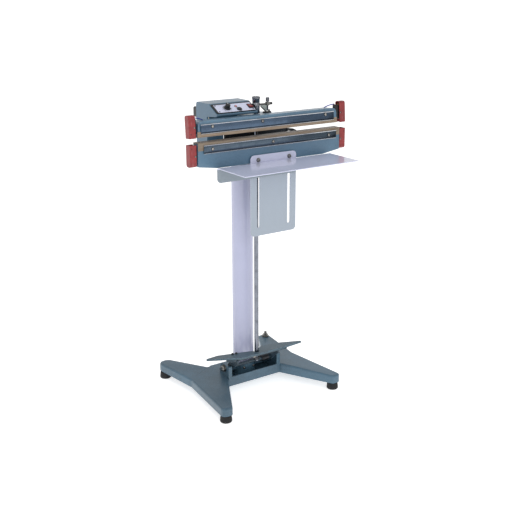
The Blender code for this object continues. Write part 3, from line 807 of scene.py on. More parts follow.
    def _bevel(self, edges: list[bmesh.types.BMEdge], width: float, segments: int) -> None:
        """Rounds the given edges."""
        bmesh.ops.bevel(
            self.bm,
            geom=edges,
            offset=width,
            segments=segments,
            affect="EDGES",
            profile=0.5,
            material=-1,
            clamp_overlap=True,
        )

    def soften(self, width: float, segments: int = 2, angle: float = 40.0) -> "Shape":
        """Rounds every edge sharper than an angle.

        Args:
            width: Width of the rounding.
            segments: Faces across it.
            angle: The least angle, in degrees.

        Returns:
            This shape.
        """
        self.bm.normal_update()
        least = math.radians(angle)
        sharp = [e for e in self.bm.edges if len(e.link_faces) == 2 and e.calc_face_angle() > least]
        self._bevel(sharp, width, segments)
        return self

    def add(self, *others: "Shape") -> "Shape":
        """Takes other shapes in beside this one's own."""
        for other in others:
            mesh = bpy.data.meshes.new("joined")
            other.bm.to_mesh(mesh)
            self.bm.from_mesh(mesh)
            bpy.data.meshes.remove(mesh)
            other.bm.free()
        return self

    def cut(self, *others: "Shape") -> "Shape":
        """Takes other shapes' space out of this one."""
        for other in others:
            objects = []
            for shape in (self, other):
                mesh = bpy.data.meshes.new("solid")
                shape.bm.to_mesh(mesh)
                objects.append(bpy.data.objects.new("solid", mesh))
            body, tool = objects
            bpy.context.scene.collection.objects.link(tool)
            made = body.modifiers.new("cut", "BOOLEAN")
            made.object, made.operation, made.solver = tool, "DIFFERENCE", "EXACT"
            result = Shape.from_object(body)
            bpy.data.objects.remove(tool, do_unlink=True)
            self.bm.free()
            self.bm = result.bm
        return self

    def ripple(self, depth: float, rate: float) -> "Shape":
        """Pushes points in and out round Z, as a weld bead lies.

        Args:
            depth: How far.
            rate: Ripples in the full turn.

        Returns:
            This shape.
        """
        for vert in self.bm.verts:
            angle = math.atan2(vert.co.y, vert.co.x)
            vert.co.z += depth * math.sin(rate * angle)
            vert.co.xy *= 1.0 + depth * 0.01 * math.cos(rate * angle * 1.37)
        return self

    def finish(
        self,
        name: str,
        finish: Finish,
        slot: str,
        body: Body = Body.STAND,
        replaces: Sequence[str] = (),
        closed_jaw: bool = False,
        smooth: float = 35.0,
    ) -> bpy.types.Object:
        """Makes the piece in the row frame and lets it ride on its body.

        Args:
            name: The piece's name.
            finish: Its finish.
            slot: Not used.
            body: The body it rides on.
            replaces: CAD nodes it stands for.
            closed_jaw: True if it was drawn on the closed upper jaw.
            smooth: Edges up to this angle are shaded smooth, in degrees.

        Returns:
            The piece.
        """
        if closed_jaw:
            self.put(jaw_turn())
        self.put(Matrix.Scale(MM, 4) @ Matrix.Translation((0.0, COLUMN_Y, 0.0)))
        mesh = bpy.data.meshes.new(name)
        self.bm.to_mesh(mesh)
        self.bm.free()
        mesh.materials.append(finish.material())
        mesh.shade_smooth()
        mesh.set_sharp_from_angle(angle=math.radians(smooth))
        obj = bpy.data.objects.new(name, mesh)
        bpy.context.scene.collection.objects.link(obj)
        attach(obj, body.value)
        if replaces:
            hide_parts(*replaces)
        LOG.info("%s: %d faces on %s", name, len(mesh.polygons), body.value)
        return obj


def rounded_box(
    a0: float, b0: float, a1: float, b1: float, radius: float, steps: int = 5
) -> list[tuple[float, float]]:
    """Corners of a rectangle with round corners.

    Args:
        a0: Lowest first coordinate.
        b0: Lowest second coordinate.
        a1: Highest first coordinate.
        b1: Highest second coordinate.
        radius: Radius of the corners.
        steps: Points of each corner's arc.

    Returns:
        The points in order.
    """
    points = []
    corners = ((a1, b1, 0.0), (a0, b1, 90.0), (a0, b0, 180.0), (a1, b0, 270.0))
    for a, b, start in corners:
        middle_a = a - math.copysign(radius, a - (a0 + a1) / 2.0)
        middle_b = b - math.copysign(radius, b - (b0 + b1) / 2.0)
        for k in range(steps):
            angle = math.radians(start + 90.0 * k / (steps - 1))
            points.append(
                (middle_a + radius * math.cos(angle), middle_b + radius * math.sin(angle))
            )
    return points


@dataclass(frozen=True)
class Coat:
    """How a CAD node is dressed: its finish, the finish of its worn edges and the rounding of its
    edges. The lighter edge paints are partly a painted highlight on the rounded edges.
    """

    finish: Finish
    edge: Finish | None = None
    round: float = 0.0
    segments: int = 2
    angle: float = 38.0

    def dress(self, *nodes: str) -> None:
        """Puts the finish on CAD nodes and rounds their edges by live modifiers.

        Args:
            nodes: The nodes' names.
        """
        for name in nodes:
            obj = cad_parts[name]
            obj.data.materials.clear()
            obj.data.materials.append(self.finish.material())
            if self.edge is not None:
                obj.data.materials.append(self.edge.material())
            weld = obj.modifiers.new("weld", "WELD")
            weld.merge_threshold = WELD_M
            if self.round > 0.0:
                flat = obj.modifiers.new("flat", "DECIMATE")
                flat.decimate_type = "DISSOLVE"
                flat.angle_limit = math.radians(FLAT_DEGREES)
                edge = obj.modifiers.new("edge", "BEVEL")
                edge.width = self.round * MM
                edge.segments = self.segments
                edge.limit_method = "ANGLE"
                edge.angle_limit = math.radians(self.angle)
                edge.use_clamp_overlap = True
                # The edge finish goes on the rounded faces; where it is a lighter paint it is a
                # painted highlight with worn chips.
                edge.material = 1 if self.edge is not None else -1
            shade = obj.modifiers.new("shade", "WEIGHTED_NORMAL")
            shade.keep_sharp = True
            LOG.info("%s: dressed in %s", name, self.finish.name)


# Fasteners


@dataclass(frozen=True)
class PanScrew:
    """A cross-recessed pan-head screw, drawn with its head rising along Z."""

    radius: float = 4.0
    height: float = 2.6

    def shape(self) -> Shape:
        """The head with its cross."""
        r, h = self.radius, self.height
        profile = [(0.0, 0.0), (r, 0.0), (r, h * 0.35), (r * 0.94, h * 0.62)]
        profile += [(r * 0.78, h * 0.85), (r * 0.5, h * 0.97), (0.0, h)]
        head = Shape.turned(profile, 28)
        wide, reach = r * 0.17, r * 0.62
        arms = [
            Shape.box((-reach, -wide, h * 0.35), (reach, wide, h * 1.4)),
            Shape.box((-wide, -reach, h * 0.35), (wide, reach, h * 1.4)),
        ]
        return head.cut(*arms)


@dataclass(frozen=True)
class SocketScrew:
    """A hexagon-socket button or cap screw, with a washer, rising along Z."""

    radius: float = 6.0
    height: float = 5.0
    washer: float = 7.0
    socket: float = 3.4

    def shape(self) -> Shape:
        """Head, socket and washer."""
        r, h = self.radius, self.height
        profile = [(0.0, 1.0), (r * 0.9, 1.0), (r, 1.4), (r, 1.0 + h * 0.6)]
        profile += [(r * 0.9, 1.0 + h * 0.88), (r * 0.7, 1.0 + h), (0.0, 1.0 + h)]
        head = Shape.turned(profile, 32)
        head.cut(Shape.hexagon(self.socket, 1.0 + h * 0.35, 3.0 + h, 0.01))
        w = self.washer
        ring = [(w * 0.5, 0.0), (w - 0.2, 0.0), (w, 0.25)]
        ring += [(w, 0.85), (w - 0.2, 1.1), (w * 0.5, 1.1)]
        return head.add(Shape.turned(ring + ring[:1], 32))


@dataclass(frozen=True)
class HexScrew:
    """A hexagon head on its washer, along Z from its seat."""

    across: float = 13.0
    top: float = 6.6
    washer: float = 8.5
    thick: float = 1.4
    chamfer: float = 0.8

    def shape(self) -> Shape:
        """Head and washer."""
        w, t = self.washer, self.thick
        head = Shape.hexagon(self.across, t, self.top, self.chamfer)
        return head.add(Shape.turned([(0.0, 0.0), (w, 0.0), (w, t), (0.0, t)], 28))


@dataclass(frozen=True)
class ThreadedEnd:
    """The end of a screw thread, along Z."""

    radius: float
    low: float
    high: float
    pitch: float = 1.25

    def shape(self) -> Shape:
        """Crests and roots one pitch apart, with a chamfered tip."""
        root = self.radius - self.pitch * 0.5
        profile = [(0.0, self.low), (root, self.low)]
        count = int((self.high - self.low - 1.0) / self.pitch)
        for k in range(count):
            at = self.low + self.pitch * k
            profile += [(root, at + 0.1), (self.radius, at + self.pitch * 0.5)]
            profile += [(root, at + self.pitch * 0.95)]
        profile += [(root, self.high - 0.6), (root - 0.8, self.high), (0.0, self.high)]
        return Shape.turned(profile, 24)


@dataclass(frozen=True)
class LockNut:
    """A hexagon nut with a round locking collar and a washer, along Z from its seat."""

    across: float
    height: float
    bore: float
    washer: float

    def shape(self) -> Shape:
        """Washer, nut and collar."""
        w = self.washer
        disc = [(self.bore, 0.0), (w - 0.3, 0.0), (w, 0.3)]
        disc += [(w, 1.2), (w - 0.3, 1.5), (self.bore, 1.5)]
        made = Shape.turned(disc + disc[:1], 32)
        nut = Shape.hexagon(self.across, 1.6, 1.6 + self.height)
        r, top = self.across * 0.44, 1.6 + self.height
        collar = [(self.bore, top - 0.5), (r, top - 0.5), (r * 0.98, top + 1.2)]
        collar += [(r * 0.86, top + 2.0), (self.bore, top + 2.0), (self.bore, top - 0.5)]
        return made.add(nut, Shape.turned(collar, 32))


# Sub-assemblies


@dataclass
class FloorBase:
    """Splayed base: welded centre box, two pressed wings and four feet."""

    foot_x: float = 208.0
    foot_front: float = -228.0
    foot_rear: float = 158.0
    bolt_x: float = 98.0
    bolt_z: float = 46.0
    socket_radius: float = 38.6
    tube_y: float = -7.0
    floor_top: float = 31.0

    def build(self) -> None:
        """Dresses the pressings and adds feet, welds, bolts and the levelling stud."""
        Coat(BASE, BASE_HIGHLIGHT_WORN_EDGE, 0.9).dress("base_box")
        Coat(BASE).dress("base_wing_left", "base_wing_right")
        Coat(BASE, BASE_HIGHLIGHT_WORN_EDGE, 0.8).dress("column_socket")
        self.feet()
        self.welds()
        self.bolts()
        self.stud()

    def feet(self) -> None:
        """Moulded rubber feet with grip rings and a steel stem."""
        pad = [(0.0, 0.0), (16.2, 0.0), (17.6, 0.7), (18.4, 2.0), (18.9, 3.2), (18.9, 6.4)]
        pad += [(18.2, 7.0), (18.7, 7.6), (18.5, 10.6), (17.9, 11.2), (18.3, 11.8), (17.9, 15.0)]
        pad += [(17.3, 15.6), (17.7, 16.2), (17.1, 21.0), (16.2, 22.0), (10.6, 23.2)]
        pad += [(9.8, 24.4), (9.8, 47.0), (9.0, 48.0), (0.0, 48.0)]
        for row, y in (("front", self.foot_front), ("rear", self.foot_rear)):
            for hand, side in HANDS:
                foot = Shape.turned(pad, 40).move((side * self.foot_x, y, 0.0))
                node = f"foot_{row}_{hand}"
                foot.finish(f"foot_pad_{row}_{hand}", FOOT, "rubber", replaces=[node])

    def welds(self) -> None:
        """Fillet bead where the column socket meets the box floor."""
        bead = Shape.ring(self.socket_radius + 0.8, 2.0, 120, 10).ripple(0.35, 38.0)
        bead.move((0.0, self.tube_y, self.floor_top + 1.2))
        bead.finish("socket_weld", BASE, "base_grey")

    def bolts(self) -> None:
        """Hexagon screws that hold the wings to the box walls, and two screws of the socket."""
        for hand, side in HANDS:
            rows = []
            for y in (4.0, 28.0):
                head = HexScrew().shape().turn(-side * QUARTER, Axis.Y)
                rows.append(head.move((side * self.bolt_x, y, self.bolt_z)))
            rows[0].add(rows[1]).finish(f"wing_bolts_{hand}", ZINC, "zinc")
        for k, angle in enumerate((-118.0, -62.0)):
            screw = SocketScrew(3.6, 3.0, 4.4, 2.4).shape()
            screw.turn(QUARTER, Axis.Y).move((self.socket_radius - 0.4, 0.0, 60.0))
            screw.turn(math.radians(angle)).move((0.0, self.tube_y, 0.0))
            screw.finish(f"socket_screw_{k}", ZINC, "zinc")

    def stud(self) -> None:
        """Levelling stud with its lock nut on the right rear wing."""
        at = (self.foot_x - 4.0, self.foot_rear, 0.0)
        nut = Shape.turned([(0.0, 53.4), (13.0, 53.4), (13.0, 55.0), (0.0, 55.0)], 32)
        nut.add(Shape.hexagon(18.6, 55.0, 62.4), ThreadedEnd(5.0, 61.5, 73.0).shape())
        nut.move(at).finish("levelling_screw", ZINC, "zinc", replaces=["levelling_stud"])


@dataclass
class Post:
    """Painted column tube and the chromium pull rod beside it."""

    nut_z: float = 114.0
    thread_low: float = 100.2
    thread_high: float = 104.0

    def build(self) -> None:
        """Dresses the tube and rod, and adds the rod's lock nut."""
        Coat(LAVENDER).dress("column")
        Coat(ROD_CHROME, None, 0.8).dress("pull_rod")
        nut = LockNut(17.6, 7.0, 7.2, 10.4).shape().turn(math.pi, Axis.X)
        nut.move((0.0, ROD_Y, self.nut_z))
        thread = ThreadedEnd(6.9, self.thread_low, self.thread_high).shape()
        thread.move((0.0, ROD_Y, 0.0))
        nut.add(thread).finish("rod_lock_nut", STEEL, "zinc", Body.ROD, ["rod_nut"])


@dataclass
class Pedal:
    """Treadle plate on its yoke, with its shaft, nuts and return spring."""

    nut_x: float = 102.3

    def build(self) -> None:
        """Dresses the treadle and adds fasteners and the spring."""
        Coat(PEDAL, BASE_HIGHLIGHT_WORN_EDGE, 0.9).dress("pedal_plate")
        # The yoke and shaft take a darker copy of the pedal paint as painted shade.
        Coat(PEDAL_PAINTED_SHADE, None, 0.9).dress("pedal_yoke")
        Coat(PEDAL_PAINTED_SHADE, None, 0.8).dress("pedal_shaft")
        self.nuts()
        self.spring()
        self.plate_screws()

    def nuts(self) -> None:
        """Lock nuts on both ends of the shaft, with the thread showing."""
        for hand, side in HANDS:
            nut = LockNut(18.6, 7.0, 6.2, 12.6).shape()
            nut.turn(side * QUARTER, Axis.Y).move((side * self.nut_x, SHAFT.y, SHAFT.z))
            nut.finish(f"pedal_lock_nut_{hand}", ZINC, "zinc", replaces=[f"shaft_nut_{hand}"])

    def spring(self) -> None:
        """Close-wound return spring with its two legs."""
        coil = Shape.helix(9.3, 1.3, 27.0, 9.0, 28, 10).turn(QUARTER, Axis.Y)
        coil.move((41.5, SHAFT.y, SHAFT.z))
        coil.finish("return_coil", STEEL, "spring_steel", replaces=["pedal_return_spring"])

    def plate_screws(self) -> None:
        """Black button heads through the treadle, and a bright hexagon head on the yoke bar."""
        heads = Shape()
        for at in ((-80.0, -66.5, 133.0), (-67.0, -69.0, 133.0)):
            heads.add(SocketScrew(3.6, 3.4, 4.8, 2.4).shape().move(at))
        heads.finish("treadle_screws", STEEL, "black_steel", Body.PEDAL)
        bright = HexScrew(10.0, 5.0, 6.6, 1.0, 0.5).shape().face_front((-17.0, -98.0, 124.0))
        bright.finish("yoke_bolt", ZINC, "zinc", Body.PEDAL)


@dataclass
class HeadFrame:
    """Black bracket on top of the column, with the hinge shaft."""

    deck_top: float = 812.0

    def build(self) -> None:
        """Dresses the bracket and adds its screws, hinge clips and latch lever."""
        Coat(BLACK, STEEL, 0.8).dress("head_frame")
        Coat(ZINC, None, 0.8).dress("hinge_shaft")
        self.deck_bolts()
        self.hinge_clips()
        self.latch()
        self.sleeve_screws()

    def deck_bolts(self) -> None:
        """Four hexagon screws through the deck."""
        bolts = Shape()
        for x, y in ((-76.0, -96.0), (76.0, -96.0), (-40.0, -20.0), (40.0, -20.0)):
            bolt = HexScrew(13.0, 6.8, 8.4).shape().turn(x * 0.01)
            bolts.add(bolt.move((x, y, self.deck_top)))
        bolts.finish("deck_bolts", ZINC, "zinc")

    def hinge_clips(self) -> None:
        """A retaining ring on each end of the hinge shaft."""
        clip = [(4.0, 0.0), (10.5, 0.0), (10.5, 1.4), (4.0, 1.4), (4.0, 0.0)]
        for hand, side in HANDS:
            ring = Shape.turned(clip, 32).turn(side * QUARTER, Axis.Y)
            ring.move((side * 61.5, HINGE.y, HINGE.z))
            ring.finish(f"hinge_clip_{hand}", STEEL, "zinc")

    def latch(self) -> None:
        """Black lever at the right of the lower jaw, with its pivot screw."""
        outline = [(131.0, 851.0), (155.0, 847.0), (177.0, 836.0)]
        outline += [(176.0, 831.5), (153.0, 839.0), (131.0, 841.0)]
        lever = Shape.slab(outline, 3.0).soften(0.6)
        lever.turn(QUARTER, Axis.X).move((0.0, -64.2, 0.0))
        lever.finish("latch_lever", BLACK, "black_steel")
        pivot = SocketScrew(4.0, 3.0, 5.0, 2.4).shape().face_front((136.0, -67.2, 846.0))
        pivot.finish("latch_pivot", ZINC, "zinc")

    def sleeve_screws(self) -> None:
        """Two screws that clamp the bracket's sleeve on the column."""
        screws = Shape()
        for z in (760.0, 786.0):
            bolt = SocketScrew(4.6, 4.2, 5.6, 3.0).shape().turn(-QUARTER, Axis.X)
            screws.add(bolt.move((0.0, 37.0, z)))
        screws.finish("sleeve_screws", ZINC, "zinc")


@dataclass
class ClampStrip:
    """Pressed bright strip that holds a tape, with its screws."""

    name: str
    left: float
    right: float
    low: float
    high: float
    screws: tuple[float, ...]
    screw_z: float
    finish_main: Finish
    closed_jaw: bool
    front: float = -178.6
    back: float = -175.9

    def build(self) -> None:
        """A strip with rolled bright edges and a foot turned in below, and its screws. The pale
        rims are a painted highlight, the dark band on the foot is painted shade and dark
        reflection, the face's blue is a painted reflection, and black rings behind the screw heads
        are painted shadows.
        """
        length = self.right - self.left
        face = [(self.front + 0.7, self.high - 1.5), (self.front + 0.5, self.low + 5.0)]
        face += [(self.front + 1.7, self.low + 0.8), (self.back, self.low + 0.8)]
        face += [(self.back, self.high - 1.5)]
        plate = Shape.slab(face, length).put(along_x(self.left)).soften(0.35, 2, 20.0)
        # The face's dark blue metal colour paints the blue reflection it shows.
        self.attach(plate, "", self.finish_main)
        # Pale rolled rims: their colour paints a highlight.
        rims = Shape()
        for z, half in ((self.low + 0.8, 0.8), (self.high - 1.4, 1.4)):
            section = rounded_box(0.0, -half, self.back - self.front - 0.2, half, half - 0.05)
            roll = Shape.slab(section, length).put(along_x(self.left))
            rims.add(roll.move((0.0, self.front, z)))
        self.attach(rims, "_rims", STRIP_HIGHLIGHT)
        # Dark band on the turned-in foot: its colour paints shade and a dark reflection.
        crease = Shape.box(
            (self.left + 0.4, self.front + 0.25, self.low + 1.9),
            (self.right - 0.4, self.front + 1.2, self.low + 5.6),
        )
        self.attach(crease.soften(0.3), "_shade_band", STRIP_SHADE)
        # Black rings behind the screw heads paint the shadows round them.
        heads, screw_shadows = Shape(), Shape()
        screw_shadow_ring = [(3.4, 0.0), (5.2, 0.0), (5.4, 0.3), (5.2, 0.6), (3.4, 0.7), (3.4, 0.0)]
        for k, x in enumerate(self.screws):
            screw = PanScrew(4.1, 2.5).shape().turn(0.5 + k * 1.1)
            heads.add(screw.face_front((x, self.front + 0.05, self.screw_z)))
            screw_shadows.add(Shape.turned(screw_shadow_ring, 28).face_front((x, self.front + 0.5, self.screw_z)))
        self.attach(heads, "_screws", BRIGHT, "zinc")
        self.attach(screw_shadows, "_screw_shadows", BLACK_INK, "zinc")

    def attach(
        self, shape: Shape, suffix: str, finish: Finish, slot: str = "polished_strip"
    ) -> None:
        """Finishes a piece of the strip on its jaw.

        Args:
            shape: The piece.
            suffix: What its name adds to the strip's; the strip itself adds nothing.
            finish: Its finish.
            slot: Passed on to Shape.finish.
        """
        body = Body.JAW if self.closed_jaw else Body.STAND
        node = "upper_clamp_strip" if self.closed_jaw else "lower_clamp_strip"
        replaces = () if suffix else (node,)
        shape.finish(self.name + suffix, finish, slot, body, replaces, self.closed_jaw)


@dataclass
class Jaws:
    """Both sealing jaws with strips, tapes, terminals, covers and leads."""

    cover_in: float = 258.0
    bush_x: float = 274.0

    def build(self) -> None:
        """Dresses the beams and adds everything screwed to them."""
        Coat(BLUE, BLUE_HIGHLIGHT_WORN_EDGE, 0.7).dress("upper_jaw_arm", "lower_jaw_beam")
        Coat(BLUE, BLUE_HIGHLIGHT_WORN_EDGE, 0.5).dress("upper_jaw_beam")
        Coat(TAPE_HIGH, None, 0.2).dress("upper_ptfe_sheet")
        Coat(TAPE_LOW, None, 0.2).dress("lower_ptfe_sheet")
        Coat(RIBBON, None, 0.1).dress("upper_heating_ribbon", "lower_heating_ribbon")
        for level in ("upper", "lower"):
            for hand, _ in HANDS:
                Coat(BLACK_PLASTIC, None, 0.4).dress(f"{level}_terminal_{hand}")
                Coat(RED).dress(f"{level}_end_cover_{hand}")
        Coat(BLACK_PLASTIC, None, 0.4).dress("micro_switch")
        upper = (-207.0, -36.0, 196.0)
        lower = (-209.0, 0.0, 209.0)
        ClampStrip(
            "upper_strip", -245.5, 228.5, 866.5, 893.5, upper, 885.6, STRIP_HIGH, True
        ).build()
        ClampStrip(
            "lower_strip", -238.0, 238.0, 825.0, 850.0, lower, 837.5, STRIP_LOW, False
        ).build()
        self.cover_screws()
        self.terminal_screws()
        self.leads()
        self.switch()

    def cover_screws(self) -> None:
        """A small screw and a dark bush on each cover's front."""
        for hand, side in HANDS:
            for level, front, z, hole, raised in (
                ("upper", -170.2, 886.0, 868.0, True),
                ("lower", -170.8, 820.0, 842.0, False),
            ):
                screw = PanScrew(2.7, 1.7).shape().turn(0.7)
                screw.face_front((side * (self.cover_in + 3.6), front, z))
                body = Body.JAW if raised else Body.STAND
                name = f"{level}_cover_screw_{hand}"
                screw.finish(name, ZINC, "zinc", body, (), raised)
                bush = [(0.9, 0.0), (1.7, 0.0), (1.7, 0.3), (0.9, 0.35), (0.9, 0.0)]
                ring = Shape.turned(bush, 20).face_front((side * self.bush_x, front, hole))
                name = f"{level}_cover_bush_{hand}"
                ring.finish(name, BLACK_INK, "black_plastic", body, (), raised)

    def terminal_screws(self) -> None:
        """Brass screws that clamp the ribbon ends."""
        for hand, side in HANDS:
            low = PanScrew(3.2, 2.0).shape().face_front((side * 262.0, -166.0, 838.0))
            low.finish(f"lower_terminal_screw_{hand}", BRASS, "zinc")
            high = PanScrew(3.2, 2.0).shape().move((side * 262.5, -159.0, 910.0))
            high.finish(f"upper_terminal_screw_{hand}", BRASS, "zinc", Body.JAW, (), True)

    def leads(self) -> None:
        """Insulated leads that loop from the jaw into the terminals, with crimped lugs."""
        for hand, side in HANDS:
            root = 242.5 if side > 0.0 else 252.0
            path = []
            for i in range(15):
                share = i / 14.0
                x = side * (root + 4.5 - 33.6 * share)
                z = 912.0 - 8.2 * share + 1.6 * math.sin(math.pi * share)
                path.append((x, -157.0 + 7.0 * share, z))
            wire = Shape.wire(path, 1.55)
            name = f"jaw_lead_{hand}"
            wire.finish(name, BLUE_SLEEVE, "lead_blue", Body.JAW, [f"lead_{hand}"], True)
            crimp = [(0.0, 0.0), (2.1, 0.0), (2.2, 0.6), (1.7, 2.2)]
            crimp += [(2.2, 3.8), (2.1, 5.0), (0.0, 5.0)]
            lug = Shape.turned(crimp, 16).move((side * (root + 4.5), -157.0, 907.4))
            lug.finish(f"lead_crimp_{hand}", BRASS, "zinc", Body.JAW, (), True)

    def switch(self) -> None:
        """Spring lever and roller on the micro switch."""
        lever = Shape.box((32.5, -90.0, 903.2), (52.0, -84.0, 903.6)).soften(0.12)
        roller = Shape.turned(
            [(0.0, -2.6), (2.2, -2.6), (2.5, -2.2), (2.5, 2.2), (2.2, 2.6), (0.0, 2.6)], 20
        )
        roller.face_front((50.5, -87.0, 905.9))
        lever.add(roller).finish("switch_lever", ZINC, "zinc", Body.JAW, (), True)


@dataclass
class PressurePost:
    """Spring barrel, cross bar and thumb screw at the top of the pull rod."""

    bar_z: float = 936.0
    screw_x: float = 42.0

    def build(self) -> None:
        """Turns the barrel, spring, bar ends and screw."""
        Coat(ZINC, None, 0.5).dress("cross_bar")
        self.barrel()
        self.spring()
        self.gusset()
        self.tips()
        self.screw()

    def barrel(self) -> None:
        """Chromium barrel with a flared top and a waist."""
        wall = [(7.3, 948.3), (7.3, 933.0), (11.0, 933.0), (11.6, 933.6), (11.6, 941.0)]
        wall += [(11.2, 941.6), (11.2, 943.4), (11.6, 944.0), (11.6, 953.0)]
        wall += [(12.4, 955.0), (12.5, 958.4)]
        wall += [(12.0, 959.6), (10.8, 960.4), (8.6, 960.4), (8.2, 959.2), (0.0, 959.0)]
        made = Shape.turned(wall, 48).move((0.0, ROD_Y, 0.0))
        made.finish("pressure_barrel", CHROME, "chrome", Body.ROD, ["spring_barrel"])

    def spring(self) -> None:
        """Compression spring under the barrel, inside its sleeve."""
        coil = Shape.helix(9.0, 1.25, 21.0, 5.5, 28, 10).move((0.0, ROD_Y, 910.2))
        coil.finish("compression_coil", SPRING, "spring_steel", Body.ROD, ["pressure_spring"])
        wall = [(10.4, 911.0), (11.0, 911.0), (11.3, 911.4), (11.3, 932.4), (10.4, 932.8)]
        sleeve = Shape.turned(wall + wall[:1], 40).move((0.0, ROD_Y, 0.0))
        sleeve.finish("spring_sleeve", ROD_CHROME, "chrome", Body.ROD)

    def gusset(self) -> None:
        """Painted corner plate under the cross bar, with a black stay in front."""
        plate = Shape.slab([(13.4, 932.6), (37.6, 932.6), (37.6, 914.4), (32.0, 914.4)], 0.9)
        plate.soften(0.2).turn(QUARTER, Axis.X).move((0.0, ROD_Y - 1.6, 0.0))
        plate.finish("gusset_plate", GUSSET, "plate_grey", Body.ROD)
        stay = Shape.slab([(12.6, 929.4), (15.2, 931.4), (34.6, 913.6), (32.4, 911.6)], 1.6)
        stay.soften(0.4).turn(QUARTER, Axis.X).move((0.0, ROD_Y - 3.0, 0.0))
        stay.finish("gusset_stay", BLACK, "black_steel", Body.ROD)

    def tips(self) -> None:
        """Black tips of the cross bar."""
        ball = [(0.0, 51.0), (3.0, 51.0), (3.8, 52.2), (4.1, 54.6)]
        ball += [(3.8, 57.0), (2.8, 58.5), (0.0, 59.0)]
        right = Shape.turned(ball, 24).turn(QUARTER, Axis.Y).move((0.0, ROD_Y, self.bar_z))
        right.finish("cross_bar_ball", BLACK_PLASTIC, "black_plastic", Body.ROD)
        stub = [(0.0, 12.4), (3.2, 12.4), (3.6, 13.0), (3.6, 16.0), (3.0, 16.8), (0.0, 16.8)]
        left = Shape.turned(stub, 24).turn(-QUARTER, Axis.Y).move((0.0, ROD_Y, self.bar_z))
        left.finish("cross_bar_stub", BLACK_PLASTIC, "black_plastic", Body.ROD)

    def screw(self) -> None:
        """Knurled head over a threaded shank."""
        head = [(0.0, 942.6), (5.0, 942.6), (5.6, 943.2), (5.6, 945.0)]
        for k in range(4):
            z = 945.4 + k * 2.0
            head += [(5.3, z), (5.6, z + 0.5), (5.6, z + 1.5)]
        head += [(5.4, 953.8), (4.6, 955.0), (0.0, 955.0)]
        made = Shape.turned(head, 36).add(ThreadedEnd(3.0, 915.0, 935.0, 1.0).shape())
        shank = Shape.turned([(0.0, 934.0), (2.95, 934.0), (2.95, 943.0), (0.0, 943.0)], 24)
        made.add(shank).move((self.screw_x, ROD_Y, 0.0))
        made.finish("thumb_screw", CHROME, "chrome", Body.SCREW, ["adjusting_screw"])


